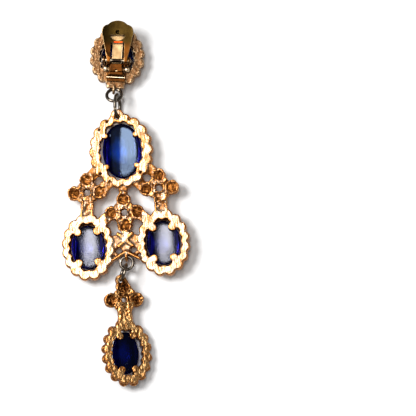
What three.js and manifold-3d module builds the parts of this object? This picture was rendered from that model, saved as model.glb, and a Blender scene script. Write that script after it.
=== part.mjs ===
// A chandelier ear clip, lying face down with its cast back up: clip setting, pendant of three
// stones and drop of one stone, joined by four jump rings. Millimetres. +Z is up, +Y points
// towards the clip and +X to the right as seen from above.
import * as THREE from "three";
import { mergeVertices } from "three/addons/utils/BufferGeometryUtils.js";
import Module from "manifold-3d";

const wasm = await Module();
wasm.setup();
const radians = THREE.MathUtils.degToRad;

// Castings. Each is built with its back face on z = 0 and its front towards -z.
const castThickness = 1.6;
const wallDepth = 3.2; // back face to the front edge of the wall round a stone
const tabThickness = 0.5;
const clawThickness = 0.5;
const rimWave = 0.2; // how far the edge of an opening waves inwards between two beads
const lobeShare = 0.54; // radius of a rim lobe, as a share of the beads' pitch
const beadShare = 0.4; // radius of a front bead, as a share of the same pitch
const beadSetback = 0.1; // outer edge of a rim to its front beads

// Stones: domed in front, low domed behind
const girdleDepth = 1.25; // back face of the casting to the girdle
const frontDome = 3.35;
const backDome = 0.6;
const stoneClearance = 0.3;
const clawClearance = 0.2;

// Settings: half sizes of the rim and of its opening, beads, and where its back tabs end
const upperSetting = {
  halfWidth: 8.9, halfHeight: 10.4, openHalfWidth: 6.05, openHalfHeight: 7.98,
  beads: 18, tabX: 3.6, tabY: 3.7, tabWidth: 1.4,
};
const lowerSetting = {
  halfWidth: 7.4, halfHeight: 9.35, openHalfWidth: 5.25, openHalfHeight: 6.55,
  beads: 16, tabX: 2.2, tabY: 3.4, tabWidth: 1.8,
};
const dropSetting = {
  halfWidth: 7.1, halfHeight: 9.3, openHalfWidth: 4.5, openHalfHeight: 6.2,
  beads: 16, tabX: 1.5, tabY: 3.7, tabWidth: 1.7,
};
const clipSetting = {
  halfWidth: 7.65, halfHeight: 8.5, openHalfWidth: 4.75, openHalfHeight: 5.6,
  beads: 16, tabX: 2.2, tabY: 3.0, tabWidth: 1.7,
};

// Quatrefoils
const foilOffset = 3.45; // centre to the centre of a lobe
const foilRadius = 1.72;
const foilHole = 1.9; // side of the square hole in the middle
const foilRim = 0.3; // width of the rim left round a hollowed lobe
const foilHollow = 0.85; // depth of the hollow in a lobe's back
const foilBulge = 1.0; // how far a lobe stands out in front

// Pendant layout
const neckLength = 1.3; // upper rim to the centre quatrefoil
const neckWidth = 2.5;
const sideReach = 4.9; // upper rim to the centre of a side quatrefoil, on the diagonal
const stemLength = 5.55; // centre of a side quatrefoil to the rim of the lower setting
const stemWidth = 3.6;
const strutWidth = 2.2;
const shoulderWidth = 3.0;
const bridgeWidth = 5.6; // between the two lower rims
const bridgeHeight = 4.6;
const bridgeHole = 0.8; // radius
const bridgeHoleX = 1.98;
const archWidth = 0.95;
const archDrop = 2.1;
const archSetback = 1.8; // centres of the lower settings to the arch
const footWidth = 2; // stem between the centre quatrefoil and the bridge
const eyeletX = -0.6;
const eyeletInset = 1.15; // outer edge of the rim to the hole for the link
const eyeletRadius = 1.9;

// Drop layout
const dropStemLength = 5.0; // rim to the centre of the quatrefoil
const dropStemWidth = 4.0;
const dropEyeletRise = 5.4; // centre of the quatrefoil to the hole for the link
const dropEyeletX = -0.5;
const dropEyeletRadius = 1.4;
const dropStrutWidth = 0.9;

// Jump rings: radius to the middle of the wire, and thickness of the wire
const topRing = { radius: 2.05, wire: 0.9 };
const topLink = { radius: 3.11, wire: 0.85 };
const dropRing = { radius: 1.72, wire: 0.85 };
const dropLink = { radius: 2.22, wire: 0.85 };
const eyeWire = 0.76;
const ringClearance = 0.25; // round a wire in its eye, hole or neighbour
const dropRingDepth = 1.0; // below the pendant's back face
const clipEyeDepth = 1.2; // below the clip setting's back face
const clipEyeDrop = 0.2; // beyond the clip setting's rim
const clipEyeX = -0.4;
const clipNeckWidth = 4.8;

// Clip bracket and lever
const pivotY = -1.35; // from the centre of the clip setting
const pinHeight = 2.0; // above the clip setting's back face
const pinRadius = 0.5;
const pinOverhang = 0.3; // beyond each ear
const pinClearance = 0.15;
const earHalfHeight = 1.1;
const earThickness = 0.6;
const earGap = 0.25; // lever to ear
const baseThickness = 0.6;
const baseHalfWidth = 2.65;
const baseEnd = 6.9; // centre of the clip setting to the lower end of the base
const foldY = 5.75;
const foldWidth = 0.4;
const foldHeight = 0.45;
const nubRadius = 0.75;
const nubY = 3.5;
const blockHalfWidth = 1.85;
const blockEnd = 5.35;
const blockGap = 0.35;
const blockHeight = 1.15;
const rivetRadius = 0.6;
const rivetHeight = 0.15;
const tongueWidth = 2.75;
const tongueThickness = 0.3;
const tongueLength = 7.7; // beyond the pivot
const tongueFoot = 2.9; // behind the pivot
const tongueClearance = 0.2;
const leverLength = 10.95;
const leverHalfWidth = 4.3;
const leverHeel = 0.5; // plate behind the pivot
const leverWaist = 2.85; // half width at the heel
const leverThickness = 0.9;
const leverLift = 0.1; // pin's axis to the plate's front face
const leverDish = 0.4;
const knuckleRadius = 1.0;
const windowHalfWidth = 1.62;
const windowTop = 4.75;
const crescentHalfWidth = 1.7;
const crescentDrop = 1.55;
const crescentY = 6.95;
const dimpleY = 7.75;
const dimpleRadius = 0.6;
const dimpleDepth = 0.5;
const dimpleWall = 0.3; // metal left round the dimple on the plate's front

// Lever outline from the shoulder to the tip, in shares of its half width and its length
const leverHead = [
  [0.98, 0.64], [1, 0.715], [0.95, 0.785], [0.76, 0.865], [0.66, 0.93], [0.55, 0.97], [0.4, 1],
];

// How the pieces lie
const pendantTurn = 3;
const clipTurn = -3.3;
const clipRoll = 5;
const dropTurn = 3.9;
const dropRoll = 18;
const topRingX = -0.79; // middle of the first ring, beside the link
const topLinkAngle = 55; // where the first ring crosses inside the link, from +Y upwards
const dropLinkAngle = 18.6; // lean of the lower link, from +Y towards +X

const gilt = { color: 0xe9b978, roughness: 0.38, metalness: 1 };
const darkGilt = { color: 0xb27a42, roughness: 0.42, metalness: 1 };
const bronze = { color: 0x5a4020, roughness: 0.35, metalness: 1 };
const brass = { color: 0xe3bd7d, roughness: 0.4, metalness: 1 };
const gunmetal = { color: 0x4a443c, roughness: 0.4, metalness: 1 };
const glass = { color: 0x10206e, roughness: 0.08, metalness: 0 };

// A closed geometry as a solid that can be joined and cut
function solidOf(geometry) {
  const bare = geometry.clone();
  bare.deleteAttribute("normal");
  bare.deleteAttribute("uv");
  const merged = mergeVertices(bare, 1e-4);
  return new wasm.Manifold(
    new wasm.Mesh({
      numProp: 3,
      vertProperties: merged.attributes.position.array,
      triVerts: new Uint32Array(merged.index.array),
    }),
  );
}

// The joined metal less the holes, as one geometry
function cast({ metal, holes = [] }) {
  const joined = metal.map(solidOf).reduce((whole, piece) => whole.add(piece));
  const cut = holes.map(solidOf).reduce((whole, hole) => whole.subtract(hole), joined);
  const { vertProperties, triVerts } = cut.getMesh();
  const geometry = new THREE.BufferGeometry();
  geometry.setAttribute("position", new THREE.BufferAttribute(vertProperties, 3));
  geometry.setIndex(new THREE.BufferAttribute(triVerts, 1));
  const flat = geometry.toNonIndexed();
  flat.computeVertexNormals();
  return flat;
}

const shifted = (list, x, y) => list.map((geometry) => geometry.translate(x, y, 0));
const point = (x, y) => new THREE.Vector2(x, y);

// Points at even distances along an ellipse
function evenPoints(halfWidth, halfHeight, count, phase = 0) {
  const curve = new THREE.EllipseCurve(0, 0, halfWidth, halfHeight, 0, 2 * Math.PI);
  return Array.from({ length: count }, (_, i) => curve.getPointAt((i + phase) / count));
}

// The direction of (x, y), scaled until it reaches an ellipse
function onEllipse(x, y, halfWidth, halfHeight) {
  return point(x, y).divideScalar(Math.hypot(x / halfWidth, y / halfHeight));
}

function extrude(outline, bottom, top, openings = []) {
  const shape = new THREE.Shape(outline);
  shape.holes = openings.map((opening) => new THREE.Path(opening));
  const geometry = new THREE.ExtrudeGeometry(shape, { depth: top - bottom, bevelEnabled: false });
  return geometry.translate(0, 0, bottom);
}

function disc(radius, x, y, bottom, top, sides = 14) {
  return extrude(evenPoints(radius, radius, sides), bottom, top).translate(x, y, 0);
}

// A bar with round ends between two points
function bar(from, to, width, bottom, top) {
  const heading = to.clone().sub(from).angle();
  const end = (centre, start) =>
    Array.from({ length: 5 }, (_, i) => {
      const angle = start + (Math.PI * i) / 4;
      return point(Math.cos(angle), Math.sin(angle)).multiplyScalar(width / 2).add(centre);
    });
  const outline = [...end(to, heading - Math.PI / 2), ...end(from, heading + Math.PI / 2)];
  return extrude(outline, bottom, top);
}

function box(left, right, low, high, bottom, top) {
  return new THREE.BoxGeometry(right - left, high - low, top - bottom).translate(
    (left + right) / 2, (low + high) / 2, (bottom + top) / 2,
  );
}

function ball(radius, x, y, z, rows = 4) {
  return new THREE.SphereGeometry(radius, 10, rows).rotateX(Math.PI / 2).translate(x, y, z);
}

// A round rod along X
function rod(radius, left, right, y, z, sides = 12) {
  return new THREE.CylinderGeometry(radius, radius, right - left, sides)
    .rotateZ(Math.PI / 2)
    .translate((left + right) / 2, y, z);
}

function jumpRing({ radius, wire }) {
  return new THREE.TorusGeometry(radius, wire / 2, 6, 12);
}

// A cast eye in the YZ plane that a ring's wire passes through along X, and the way through it
function eye(ring, x, y, z) {
  const inside = ring.wire / 2 + ringClearance;
  const loop = new THREE.TorusGeometry(inside + eyeWire / 2, eyeWire / 2, 5, 12);
  return {
    metal: [loop.rotateY(Math.PI / 2).translate(x, y, z)],
    holes: [rod(inside, x - ring.radius * 0.8, x + ring.radius * 0.8, y, z)],
  };
}

const eyeReach = (ring) => ring.wire / 2 + ringClearance + eyeWire / 2;

// Outline of round lobes, each ending where it meets the next
function lobedOutline(centres, radius) {
  const cusp = (a, b) => {
    const across = b.clone().sub(a);
    const rise = Math.sqrt(Math.max(0, radius ** 2 - across.lengthSq() / 4));
    const outwards = point(across.y, -across.x).setLength(rise);
    return a.clone().add(b).divideScalar(2).add(outwards);
  };
  const steps = 3;
  return centres.flatMap((centre, i) => {
    const before = centres[(i + centres.length - 1) % centres.length];
    const start = cusp(before, centre).sub(centre).angle();
    let sweep = cusp(centre, centres[(i + 1) % centres.length]).sub(centre).angle() - start;
    if (sweep < 0) sweep += 2 * Math.PI;
    return Array.from({ length: steps }, (_, k) => {
      const angle = start + (sweep * k) / steps;
      return point(Math.cos(angle), Math.sin(angle)).multiplyScalar(radius).add(centre);
    });
  });
}

// Opening whose edge comes inwards between the beads
function wavyOpening(setting, phase) {
  const out = evenPoints(setting.openHalfWidth, setting.openHalfHeight, setting.beads, phase);
  const inner = evenPoints(
    setting.openHalfWidth - rimWave, setting.openHalfHeight - rimWave, setting.beads, phase + 0.5,
  );
  return out.flatMap((p, i) => [p, inner[i]]);
}

function stoneHalfSizes(setting) {
  const inset = rimWave + stoneClearance;
  return [setting.openHalfWidth - inset, setting.openHalfHeight - inset];
}

// Four tabs over the stone's back and four claws under its front, all on the diagonals
function tabsAndClaws(setting) {
  const [stoneX, stoneY] = stoneHalfSizes(setting);
  const depth = wallDepth - clawThickness - girdleDepth;
  const section = Math.sqrt(Math.max(0, 1 - (depth / frontDome) ** 2));
  return [[1, 1], [-1, 1], [-1, -1], [1, -1]].flatMap(([sx, sy]) => {
    const tip = point(sx * setting.tabX, sy * setting.tabY);
    const root = onEllipse(tip.x, tip.y, setting.openHalfWidth + 0.6, setting.openHalfHeight + 0.6);
    const claw = onEllipse(tip.x, tip.y, stoneX * section, stoneY * section);
    claw.setLength(claw.length() + clawClearance + setting.tabWidth / 2);
    tip.setLength(tip.length() + setting.tabWidth / 2);
    return [
      bar(root, tip, setting.tabWidth, -tabThickness, 0),
      bar(root, claw, setting.tabWidth, -wallDepth, -wallDepth + clawThickness),
    ];
  });
}

// A beaded oval rim round an opening, with the wall, tabs and claws that hold its stone
function settingMetal(setting) {
  const { halfWidth, halfHeight, beads } = setting;
  const around = new THREE.EllipseCurve(0, 0, halfWidth, halfHeight, 0, 2 * Math.PI).getLength();
  const pitch = around / beads;
  const lobe = lobeShare * pitch;
  const phase = (beads / 4 + 0.5) % 1; // two beads meet at the top and at the bottom
  const centres = evenPoints(halfWidth - lobe, halfHeight - lobe, beads, phase);
  const wallOpening = evenPoints(setting.openHalfWidth + 0.1, setting.openHalfHeight + 0.1, 24);
  const wall = evenPoints(halfWidth - lobe, halfHeight - lobe, 24, 0.5);
  const bead = beadShare * pitch;
  const inset = bead + beadSetback;
  const beadLine = evenPoints(halfWidth - inset, halfHeight - inset, beads, phase);
  const beadedWall = cast({
    metal: [
      extrude(wall, -wallDepth, 0.1 - castThickness),
      ...beadLine.map((p) => ball(bead, p.x, p.y, -castThickness)),
    ],
    holes: [extrude(wallOpening, -wallDepth - 1, 1)],
  });
  return [
    extrude(lobedOutline(centres, lobe), -castThickness, 0, [wavyOpening(setting, phase)]),
    beadedWall,
    ...tabsAndClaws(setting),
  ];
}

// An oval cabochon: a high dome in front and a low one behind
function cabochon(setting) {
  const arc = (height, angles) =>
    angles.map((angle) => point(Math.cos(radians(angle)), height * Math.sin(radians(angle))));
  const profile = [...arc(frontDome, [-90, -62, -36, -16, 0]), ...arc(backDome, [45, 90])];
  profile[0].x = 0;
  profile[profile.length - 1].x = 0;
  const [halfWidth, halfHeight] = stoneHalfSizes(setting);
  return new THREE.LatheGeometry(profile, 20)
    .rotateX(Math.PI / 2)
    .scale(halfWidth, halfHeight, 1)
    .translate(0, 0, -girdleDepth);
}

// Lobes round a square hole, hollow behind and bulging in front; ways lists the lobes' directions
function quatrefoil(ways) {
  const half = foilOffset - foilRadius + 0.25;
  const hollow = foilRadius - foilRim;
  const dish = (hollow ** 2 + foilHollow ** 2) / (2 * foilHollow);
  const at = ways.map(([x, y]) => point(x, y).multiplyScalar(foilOffset));
  const reach = foilOffset + foilRadius + 1;
  const bulge = foilRadius - 0.12;
  const bulges = cast({
    metal: at.map((p) => ball(bulge, p.x, p.y, bulge - foilBulge - castThickness)),
    holes: [box(-reach, reach, -reach, reach, -0.1 - foilHollow, castThickness + foilRadius)],
  });
  return {
    metal: [
      box(-half, half, -half, half, -castThickness, 0),
      ...at.map((p) => disc(foilRadius, p.x, p.y, -castThickness, 0, 12)),
      bulges,
    ],
    holes: [
      ...at.map((p) => ball(dish, p.x, p.y, dish - foilHollow, 8)),
      box(-foilHole / 2, foilHole / 2, -foilHole / 2, foilHole / 2, -wallDepth, 1),
    ],
  };
}

// The pendant's main points, measured from the middle of the upper setting
function pendantLayout() {
  const upper = upperSetting, lower = lowerSetting;
  const diagonal = Math.SQRT1_2;
  const side = point((upper.halfWidth + sideReach) * diagonal, -(upper.halfHeight + sideReach) * diagonal);
  const below = point(bridgeWidth / 2 + lower.halfWidth, side.y - stemLength - lower.halfHeight);
  const centre = point(0, -(upper.halfHeight + neckLength + foilOffset + foilRadius));
  const arch = point(0, below.y - archSetback);
  const ringEye = point(0, arch.y - archWidth / 2 - eyeReach(dropRing) + 0.15);
  const eyelet = point(eyeletX, upper.halfHeight - eyeletInset);
  return { side, below, centre, arch, ringEye, eyelet };
}

// Bars that tie one half of the pendant together; half is 1 to the right and -1 to the left
function pendantStruts(half, { side, below, centre, arch }) {
  const rim = (setting, degrees) =>
    point(half * setting.halfWidth * Math.cos(radians(degrees)),
      setting.halfHeight * Math.sin(radians(degrees))).multiplyScalar(0.93);
  const flip = (p) => point(half * p.x, p.y);
  const lower = rim(lowerSetting, 129);
  const shoulder = point(half * below.x, below.y).add(lower);
  const stemFoot = point(half * below.x, below.y + lowerSetting.halfHeight - 1);
  const full = [-castThickness, 0];
  return [
    bar(point(half * side.x, side.y + foilOffset), rim(upperSetting, -32), strutWidth, ...full),
    bar(point(half * (side.x - foilOffset), side.y), rim(upperSetting, -62), strutWidth, ...full),
    bar(flip(side).sub(point(0, foilHole)), stemFoot, stemWidth, ...full),
    bar(point(half * foilOffset, centre.y), shoulder, shoulderWidth, ...full),
    bar(arch, point(half * (bridgeWidth / 2 + 0.9), arch.y - archDrop), archWidth, -1.4, 0.15),
  ];
}

function pendantFrame() {
  const layout = pendantLayout();
  const { side, below, centre, arch, ringEye, eyelet } = layout;
  const bridgeTop = arch.y + bridgeHeight;
  const reach = bridgeWidth / 2 + 0.6;
  const sideFoils = [1, -1].map((half) => ({ half, ...quatrefoil([[half, 0], [0, 1], [-half, 0]]) }));
  const middle = quatrefoil([[1, 0], [0, 1], [-1, 0], [0, -1]]);
  const ringLoop = eye(dropRing, ringEye.x, ringEye.y, -dropRingDepth);
  return cast({
    metal: [
      ...settingMetal(upperSetting),
      ...shifted(settingMetal(lowerSetting), below.x, below.y),
      ...shifted(settingMetal(lowerSetting), -below.x, below.y),
      ...sideFoils.flatMap((foil) => shifted(foil.metal, foil.half * side.x, side.y)),
      ...shifted(middle.metal, centre.x, centre.y),
      ...[1, -1].flatMap((half) => pendantStruts(half, layout)),
      bar(point(0, 1 - upperSetting.halfHeight), point(0, centre.y + foilOffset), neckWidth,
        -castThickness, 0),
      bar(point(0, centre.y - foilOffset), point(0, bridgeTop - 1), footWidth, -castThickness, 0),
      box(-reach, reach, arch.y - archWidth, bridgeTop, -castThickness, 0),
      disc(eyeletRadius, eyelet.x, eyelet.y + 0.4, -castThickness, 0),
      ...ringLoop.metal,
    ],
    holes: [
      ...sideFoils.flatMap((foil) => shifted(foil.holes, foil.half * side.x, side.y)),
      ...shifted(middle.holes, centre.x, centre.y),
      ...[1, -1].map((half) => disc(bridgeHole, half * bridgeHoleX, arch.y + 0.1, -wallDepth, 1, 12)),
      disc(topLink.wire / 2 + ringClearance, eyelet.x, eyelet.y, -wallDepth - 1, 1, 12),
      ...ringLoop.holes,
    ],
  });
}

// The drop's main points, measured from the middle of its setting
function dropLayout() {
  const foil = point(0, dropSetting.halfHeight + dropStemLength);
  return { foil, eyelet: point(dropEyeletX, foil.y + dropEyeletRise) };
}

function dropFrame() {
  const { foil, eyelet } = dropLayout();
  const lobes = quatrefoil([[1, 0], [-1, 0], [0, 1]]);
  const full = [-castThickness, 0];
  return cast({
    metal: [
      ...settingMetal(dropSetting),
      ...shifted(lobes.metal, foil.x, foil.y),
      bar(point(0, dropSetting.halfHeight - 1.5), point(0, foil.y - foilHole), dropStemWidth, ...full),
      disc(dropEyeletRadius, eyelet.x, eyelet.y, ...full),
      bar(point(0, foil.y + foilOffset + foilRadius / 2), eyelet, dropEyeletRadius * 1.6, ...full),
      bar(point(eyelet.x + 1, eyelet.y - 0.6), point(foilOffset, foil.y + foilRadius * 0.6),
        dropStrutWidth, -castThickness, 0.1),
    ],
    holes: [
      ...shifted(lobes.holes, foil.x, foil.y),
      disc(dropLink.wire / 2 + ringClearance, eyelet.x, eyelet.y, -wallDepth, 1, 12),
    ],
  });
}

const earInside = leverWaist + earGap;
const earOutside = earInside + earThickness;
const blockStart = -pivotY + knuckleRadius + blockGap;
const tongueZ = baseThickness + blockHeight / 2 - tongueThickness / 2;

// An upright ear with a round top, drawn in the YZ plane and thickened along X
function ear(inner, outer) {
  const top = evenPoints(earHalfHeight, earHalfHeight, 12)
    .slice(0, 7)
    .map((p) => point(p.x + pivotY, p.y + pinHeight));
  const foot = [point(pivotY - earHalfHeight, -0.1), point(pivotY + earHalfHeight, -0.1)];
  const upright = new THREE.Matrix4().makeBasis(
    new THREE.Vector3(0, 1, 0), new THREE.Vector3(0, 0, 1), new THREE.Vector3(1, 0, 0),
  );
  return extrude([...top, ...foot], inner, outer).applyMatrix4(upright);
}

// The bracket behind the clip's stone: base, ears, nubs, fold and the riveted block
function bracket() {
  const slot = tongueWidth / 2 + tongueClearance;
  return {
    metal: [
      box(-earOutside, earOutside, pivotY - earHalfHeight - 0.5, pivotY + earHalfHeight + 0.2, -0.1,
        baseThickness),
      box(-baseHalfWidth, baseHalfWidth, -baseEnd, pivotY, -0.15, baseThickness - 0.05),
      box(-baseHalfWidth, baseHalfWidth, -foldY - foldWidth / 2, foldWidth / 2 - foldY, 0,
        baseThickness + foldHeight),
      ear(earInside, earOutside),
      ear(-earOutside, -earInside),
      ...[1, -1].map((half) => ball(nubRadius, half * baseHalfWidth, -nubY, baseThickness)),
      box(-blockHalfWidth, blockHalfWidth, -blockEnd, -blockStart, 0, baseThickness + blockHeight),
      disc(rivetRadius, 0, -(blockStart + blockEnd) / 2, baseThickness + blockHeight - 0.1,
        baseThickness + blockHeight + rivetHeight, 10),
    ],
    holes: [
      rod(pinRadius + pinClearance, -earOutside - 1, earOutside + 1, pivotY, pinHeight),
      box(-slot, slot, pivotY - tongueFoot - tongueClearance, 0, tongueZ - tongueClearance,
        tongueZ + tongueThickness + tongueClearance),
    ],
  };
}

// Where the first ring crosses the clip setting's eye
const clipEye = new THREE.Vector3(clipEyeX, -clipSetting.halfHeight - clipEyeDrop, -clipEyeDepth);

function clipFrame() {
  const fitting = bracket();
  const ringLoop = eye(topRing, clipEye.x, clipEye.y, clipEye.z);
  const neckEnd = clipEye.y + 0.1;
  return cast({
    metal: [
      ...settingMetal(clipSetting),
      box(-clipNeckWidth / 2, clipNeckWidth / 2, neckEnd, -clipSetting.openHalfHeight - 0.8,
        0.05 - castThickness, -0.05),
      ...fitting.metal,
      ...ringLoop.metal,
    ],
    holes: [...fitting.holes, ...ringLoop.holes],
  });
}

function pin() {
  const half = earOutside + pinOverhang;
  return rod(pinRadius, -half, half, pivotY, pinHeight);
}

function tongue() {
  const half = tongueWidth / 2;
  return box(-half, half, pivotY - tongueFoot, pivotY + tongueLength, tongueZ,
    tongueZ + tongueThickness);
}

// The lever, measured from the pin's axis: a dished plate with two knuckles round the pin
function lever() {
  const right = leverHead.map(([x, y]) => point(x * leverHalfWidth, y * leverLength));
  right.unshift(point(leverWaist, -leverHeel));
  const left = right.map((p) => point(-p.x, p.y)).reverse();
  const top = leverLift + leverThickness;
  const crescent = evenPoints(crescentHalfWidth, crescentDrop, 16).slice(8);
  crescent.push(point(crescentHalfWidth, 0));
  const dish = new THREE.SphereGeometry(1, 16, 10).rotateX(Math.PI / 2);
  const dishHeight = 3 * leverDish;
  return cast({
    metal: [
      extrude([...right, ...left], leverLift, top),
      rod(knuckleRadius, windowHalfWidth + 0.1, leverWaist, 0, 0),
      rod(knuckleRadius, -leverWaist, -windowHalfWidth - 0.1, 0, 0),
      new THREE.ConeGeometry(dimpleRadius + dimpleWall, dimpleDepth + dimpleWall, 10)
        .rotateX(-Math.PI / 2)
        .translate(0, dimpleY, leverLift - dimpleDepth / 2 + 0.1),
    ],
    holes: [
      dish
        .scale(leverHalfWidth * 1.15, leverLength * 0.55, dishHeight)
        .translate(0, leverLength * 0.56, top + dishHeight - leverDish),
      box(-windowHalfWidth, windowHalfWidth, -leverHeel - 1, windowTop, -2, 2),
      extrude(crescent, -1, 2).translate(0, crescentY, 0),
      new THREE.ConeGeometry(dimpleRadius, 2 * dimpleDepth, 10)
        .rotateX(-Math.PI / 2)
        .translate(0, dimpleY, top - leverDish),
      rod(pinRadius + pinClearance, -leverWaist - 1, leverWaist + 1, 0, 0),
    ],
  });
}

function piece(name, geometry, look, parent) {
  const mesh = new THREE.Mesh(geometry, new THREE.MeshStandardMaterial(look));
  mesh.name = name;
  parent.add(mesh);
  return mesh;
}

// A group rolled about its own length, turned on the floor and lifted until it rests there
function lying(group, turn, roll) {
  group.rotation.set(0, radians(roll), radians(turn), "ZYX");
  group.updateMatrixWorld(true);
  group.position.z = -new THREE.Box3().setFromObject(group, true).min.z;
  group.updateMatrixWorld(true);
  return group;
}

// Moves a group over the floor until a point of it stands over a place
function bring(group, local, place) {
  const now = group.localToWorld(local.clone());
  group.position.x += place.x - now.x;
  group.position.y += place.y - now.y;
  group.updateMatrixWorld(true);
}

function pendantGroup() {
  const group = new THREE.Group();
  const { below } = pendantLayout();
  piece("pendant_frame", pendantFrame(), gilt, group);
  piece("pendant_stone_upper", cabochon(upperSetting), glass, group);
  piece("pendant_stone_left", cabochon(lowerSetting), glass, group).position.set(-below.x, below.y, 0);
  piece("pendant_stone_right", cabochon(lowerSetting), glass, group).position.set(below.x, below.y, 0);
  return lying(group, pendantTurn, 0);
}

function clipGroup() {
  const group = new THREE.Group();
  piece("clip_setting", clipFrame(), darkGilt, group);
  piece("clip_stone", cabochon(clipSetting), glass, group);
  piece("clip_tongue", tongue(), brass, group);
  piece("clip_pin", pin(), gunmetal, group);
  piece("clip_lever", lever(), bronze, group).position.set(0, pivotY, pinHeight);
  return lying(group, clipTurn, clipRoll);
}

function dropGroup() {
  const group = new THREE.Group();
  piece("drop_frame", dropFrame(), darkGilt, group);
  piece("drop_stone", cabochon(dropSetting), glass, group);
  return lying(group, dropTurn, dropRoll);
}

// Places the first ring and link between the pendant's eyelet and the clip setting's eye
function joinClip(whole, pendant, clip) {
  const { eyelet } = pendantLayout();
  const hole = pendant.localToWorld(new THREE.Vector3(eyelet.x, eyelet.y, -castThickness / 2));
  const link = piece("top_link", jumpRing(topLink).rotateY(Math.PI / 2), gunmetal, whole);
  link.position.set(hole.x, hole.y + topLink.radius, hole.z);
  const inside = topLink.radius - (topLink.wire + topRing.wire) / 2 - ringClearance;
  const angle = radians(topLinkAngle);
  const low = link.position.clone().add(
    new THREE.Vector3(topRingX, inside * Math.cos(angle), inside * Math.sin(angle)),
  );
  const eyeHeight = clip.localToWorld(clipEye.clone()).z;
  const tilt = Math.asin(THREE.MathUtils.clamp((low.z - eyeHeight) / (2 * topRing.radius), -1, 1));
  const along = new THREE.Vector3(0, Math.cos(tilt), -Math.sin(tilt));
  const ring = piece("top_ring", jumpRing(topRing), gunmetal, whole);
  ring.rotation.x = -tilt;
  ring.position.copy(low).addScaledVector(along, topRing.radius);
  bring(clip, clipEye, low.clone().addScaledVector(along, 2 * topRing.radius));
}

// Places the lower ring and link between the pendant's loop and the drop's eyelet
function joinDrop(whole, pendant, drop) {
  const { ringEye } = pendantLayout();
  const { eyelet } = dropLayout();
  const ring = piece("drop_ring", jumpRing(dropRing), gunmetal, whole);
  const middle = new THREE.Vector3(ringEye.x, ringEye.y - dropRing.radius, -dropRingDepth);
  ring.position.copy(pendant.localToWorld(middle));
  const lean = radians(dropLinkAngle);
  const up = new THREE.Vector3(Math.sin(lean), Math.cos(lean), 0);
  const hole = new THREE.Vector3(eyelet.x, eyelet.y, -castThickness / 2);
  const holeHeight = drop.localToWorld(hole.clone()).z;
  const inside = dropLink.radius - (dropLink.wire + dropRing.wire) / 2 - ringClearance;
  const rise = Math.sqrt(Math.max(0, inside ** 2 - (holeHeight - ring.position.z) ** 2));
  const link = piece("drop_link", jumpRing(dropLink), gunmetal, whole);
  link.position.copy(ring.position).addScaledVector(up, -dropRing.radius - rise).setZ(holeHeight);
  const plate = new THREE.Vector3(0, 0, 1).transformDirection(drop.matrixWorld);
  const across = plate.addScaledVector(up, -plate.dot(up)).normalize();
  link.quaternion.setFromRotationMatrix(
    new THREE.Matrix4().makeBasis(up, across, new THREE.Vector3().crossVectors(up, across)),
  );
  bring(drop, hole, link.position.clone().addScaledVector(up, -dropLink.radius));
}

function earClip() {
  const whole = new THREE.Group();
  const pendant = pendantGroup();
  const clip = clipGroup();
  const drop = dropGroup();
  joinClip(whole, pendant, clip);
  joinDrop(whole, pendant, drop);
  whole.add(pendant, clip, drop);
  whole.updateMatrixWorld(true);
  const middle = new THREE.Box3().setFromObject(whole, true).getCenter(new THREE.Vector3());
  whole.position.set(-middle.x, -middle.y, 0);
  const earring = new THREE.Group();
  earring.add(whole);
  return earring;
}

export default earClip();
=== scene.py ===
"""Looks of a chandelier ear clip that lies face down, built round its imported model.

Each sub-assembly is modelled in millimetres in its own frame, with its cast back on z = 0 and its
front towards -z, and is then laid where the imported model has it, in metres.
"""

import logging
import math
from collections.abc import Callable, Iterable
from dataclasses import dataclass, replace
from enum import Enum

import bmesh
import bpy
import numpy as np
from mathutils import Matrix, Quaternion, Vector


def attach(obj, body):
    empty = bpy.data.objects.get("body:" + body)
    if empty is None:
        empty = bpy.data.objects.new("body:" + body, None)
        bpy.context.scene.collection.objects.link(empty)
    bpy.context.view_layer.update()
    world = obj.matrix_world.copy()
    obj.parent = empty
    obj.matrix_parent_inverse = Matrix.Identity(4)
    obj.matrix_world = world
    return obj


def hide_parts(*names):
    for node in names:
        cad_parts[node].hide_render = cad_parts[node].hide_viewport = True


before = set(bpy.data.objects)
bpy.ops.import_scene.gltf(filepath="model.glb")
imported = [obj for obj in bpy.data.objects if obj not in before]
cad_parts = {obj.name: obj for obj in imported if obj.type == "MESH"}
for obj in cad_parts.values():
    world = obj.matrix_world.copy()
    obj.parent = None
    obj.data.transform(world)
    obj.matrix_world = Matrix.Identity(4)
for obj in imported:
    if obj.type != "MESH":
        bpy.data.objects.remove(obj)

LOG = logging.getLogger("ear_clip")
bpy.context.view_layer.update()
MM = 0.001
TOUCH = 1e-4  # millimetres within which two places count as one
SIDES = (1, -1)
CORNERS = ((1, 1), (-1, 1), (-1, -1), (1, -1))
Point = tuple[float, float]
Spot = tuple[float, float, float]
Colour = tuple[float, float, float]
Piece = bpy.types.Object
Socket = bpy.types.NodeSocket
Rule = Callable[[Vector], bool]


class Way(Enum):
    """Direction in which a foil's lobe points."""

    RIGHT = (1.0, 0.0)
    UP = (0.0, 1.0)
    LEFT = (-1.0, 0.0)
    DOWN = (0.0, -1.0)


class Body(Enum):
    """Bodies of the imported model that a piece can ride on."""

    EARRING = "earring"
    LEVER = "lever"


# ---------------------------------------------------------------- workbench


def clear() -> None:
    """Goes back to object mode and selects nothing."""
    if bpy.context.object is not None and bpy.context.object.mode != "OBJECT":
        bpy.ops.object.mode_set(mode="OBJECT")
    bpy.ops.object.select_all(action="DESELECT")


def hold(*pieces: Piece) -> Piece:
    """Selects only these pieces.

    Args:
        pieces: The pieces; the first becomes the active one.

    Returns:
        The active piece.
    """
    clear()
    for piece in pieces:
        piece.select_set(True)
    bpy.context.view_layer.objects.active = pieces[0]
    return pieces[0]


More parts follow.
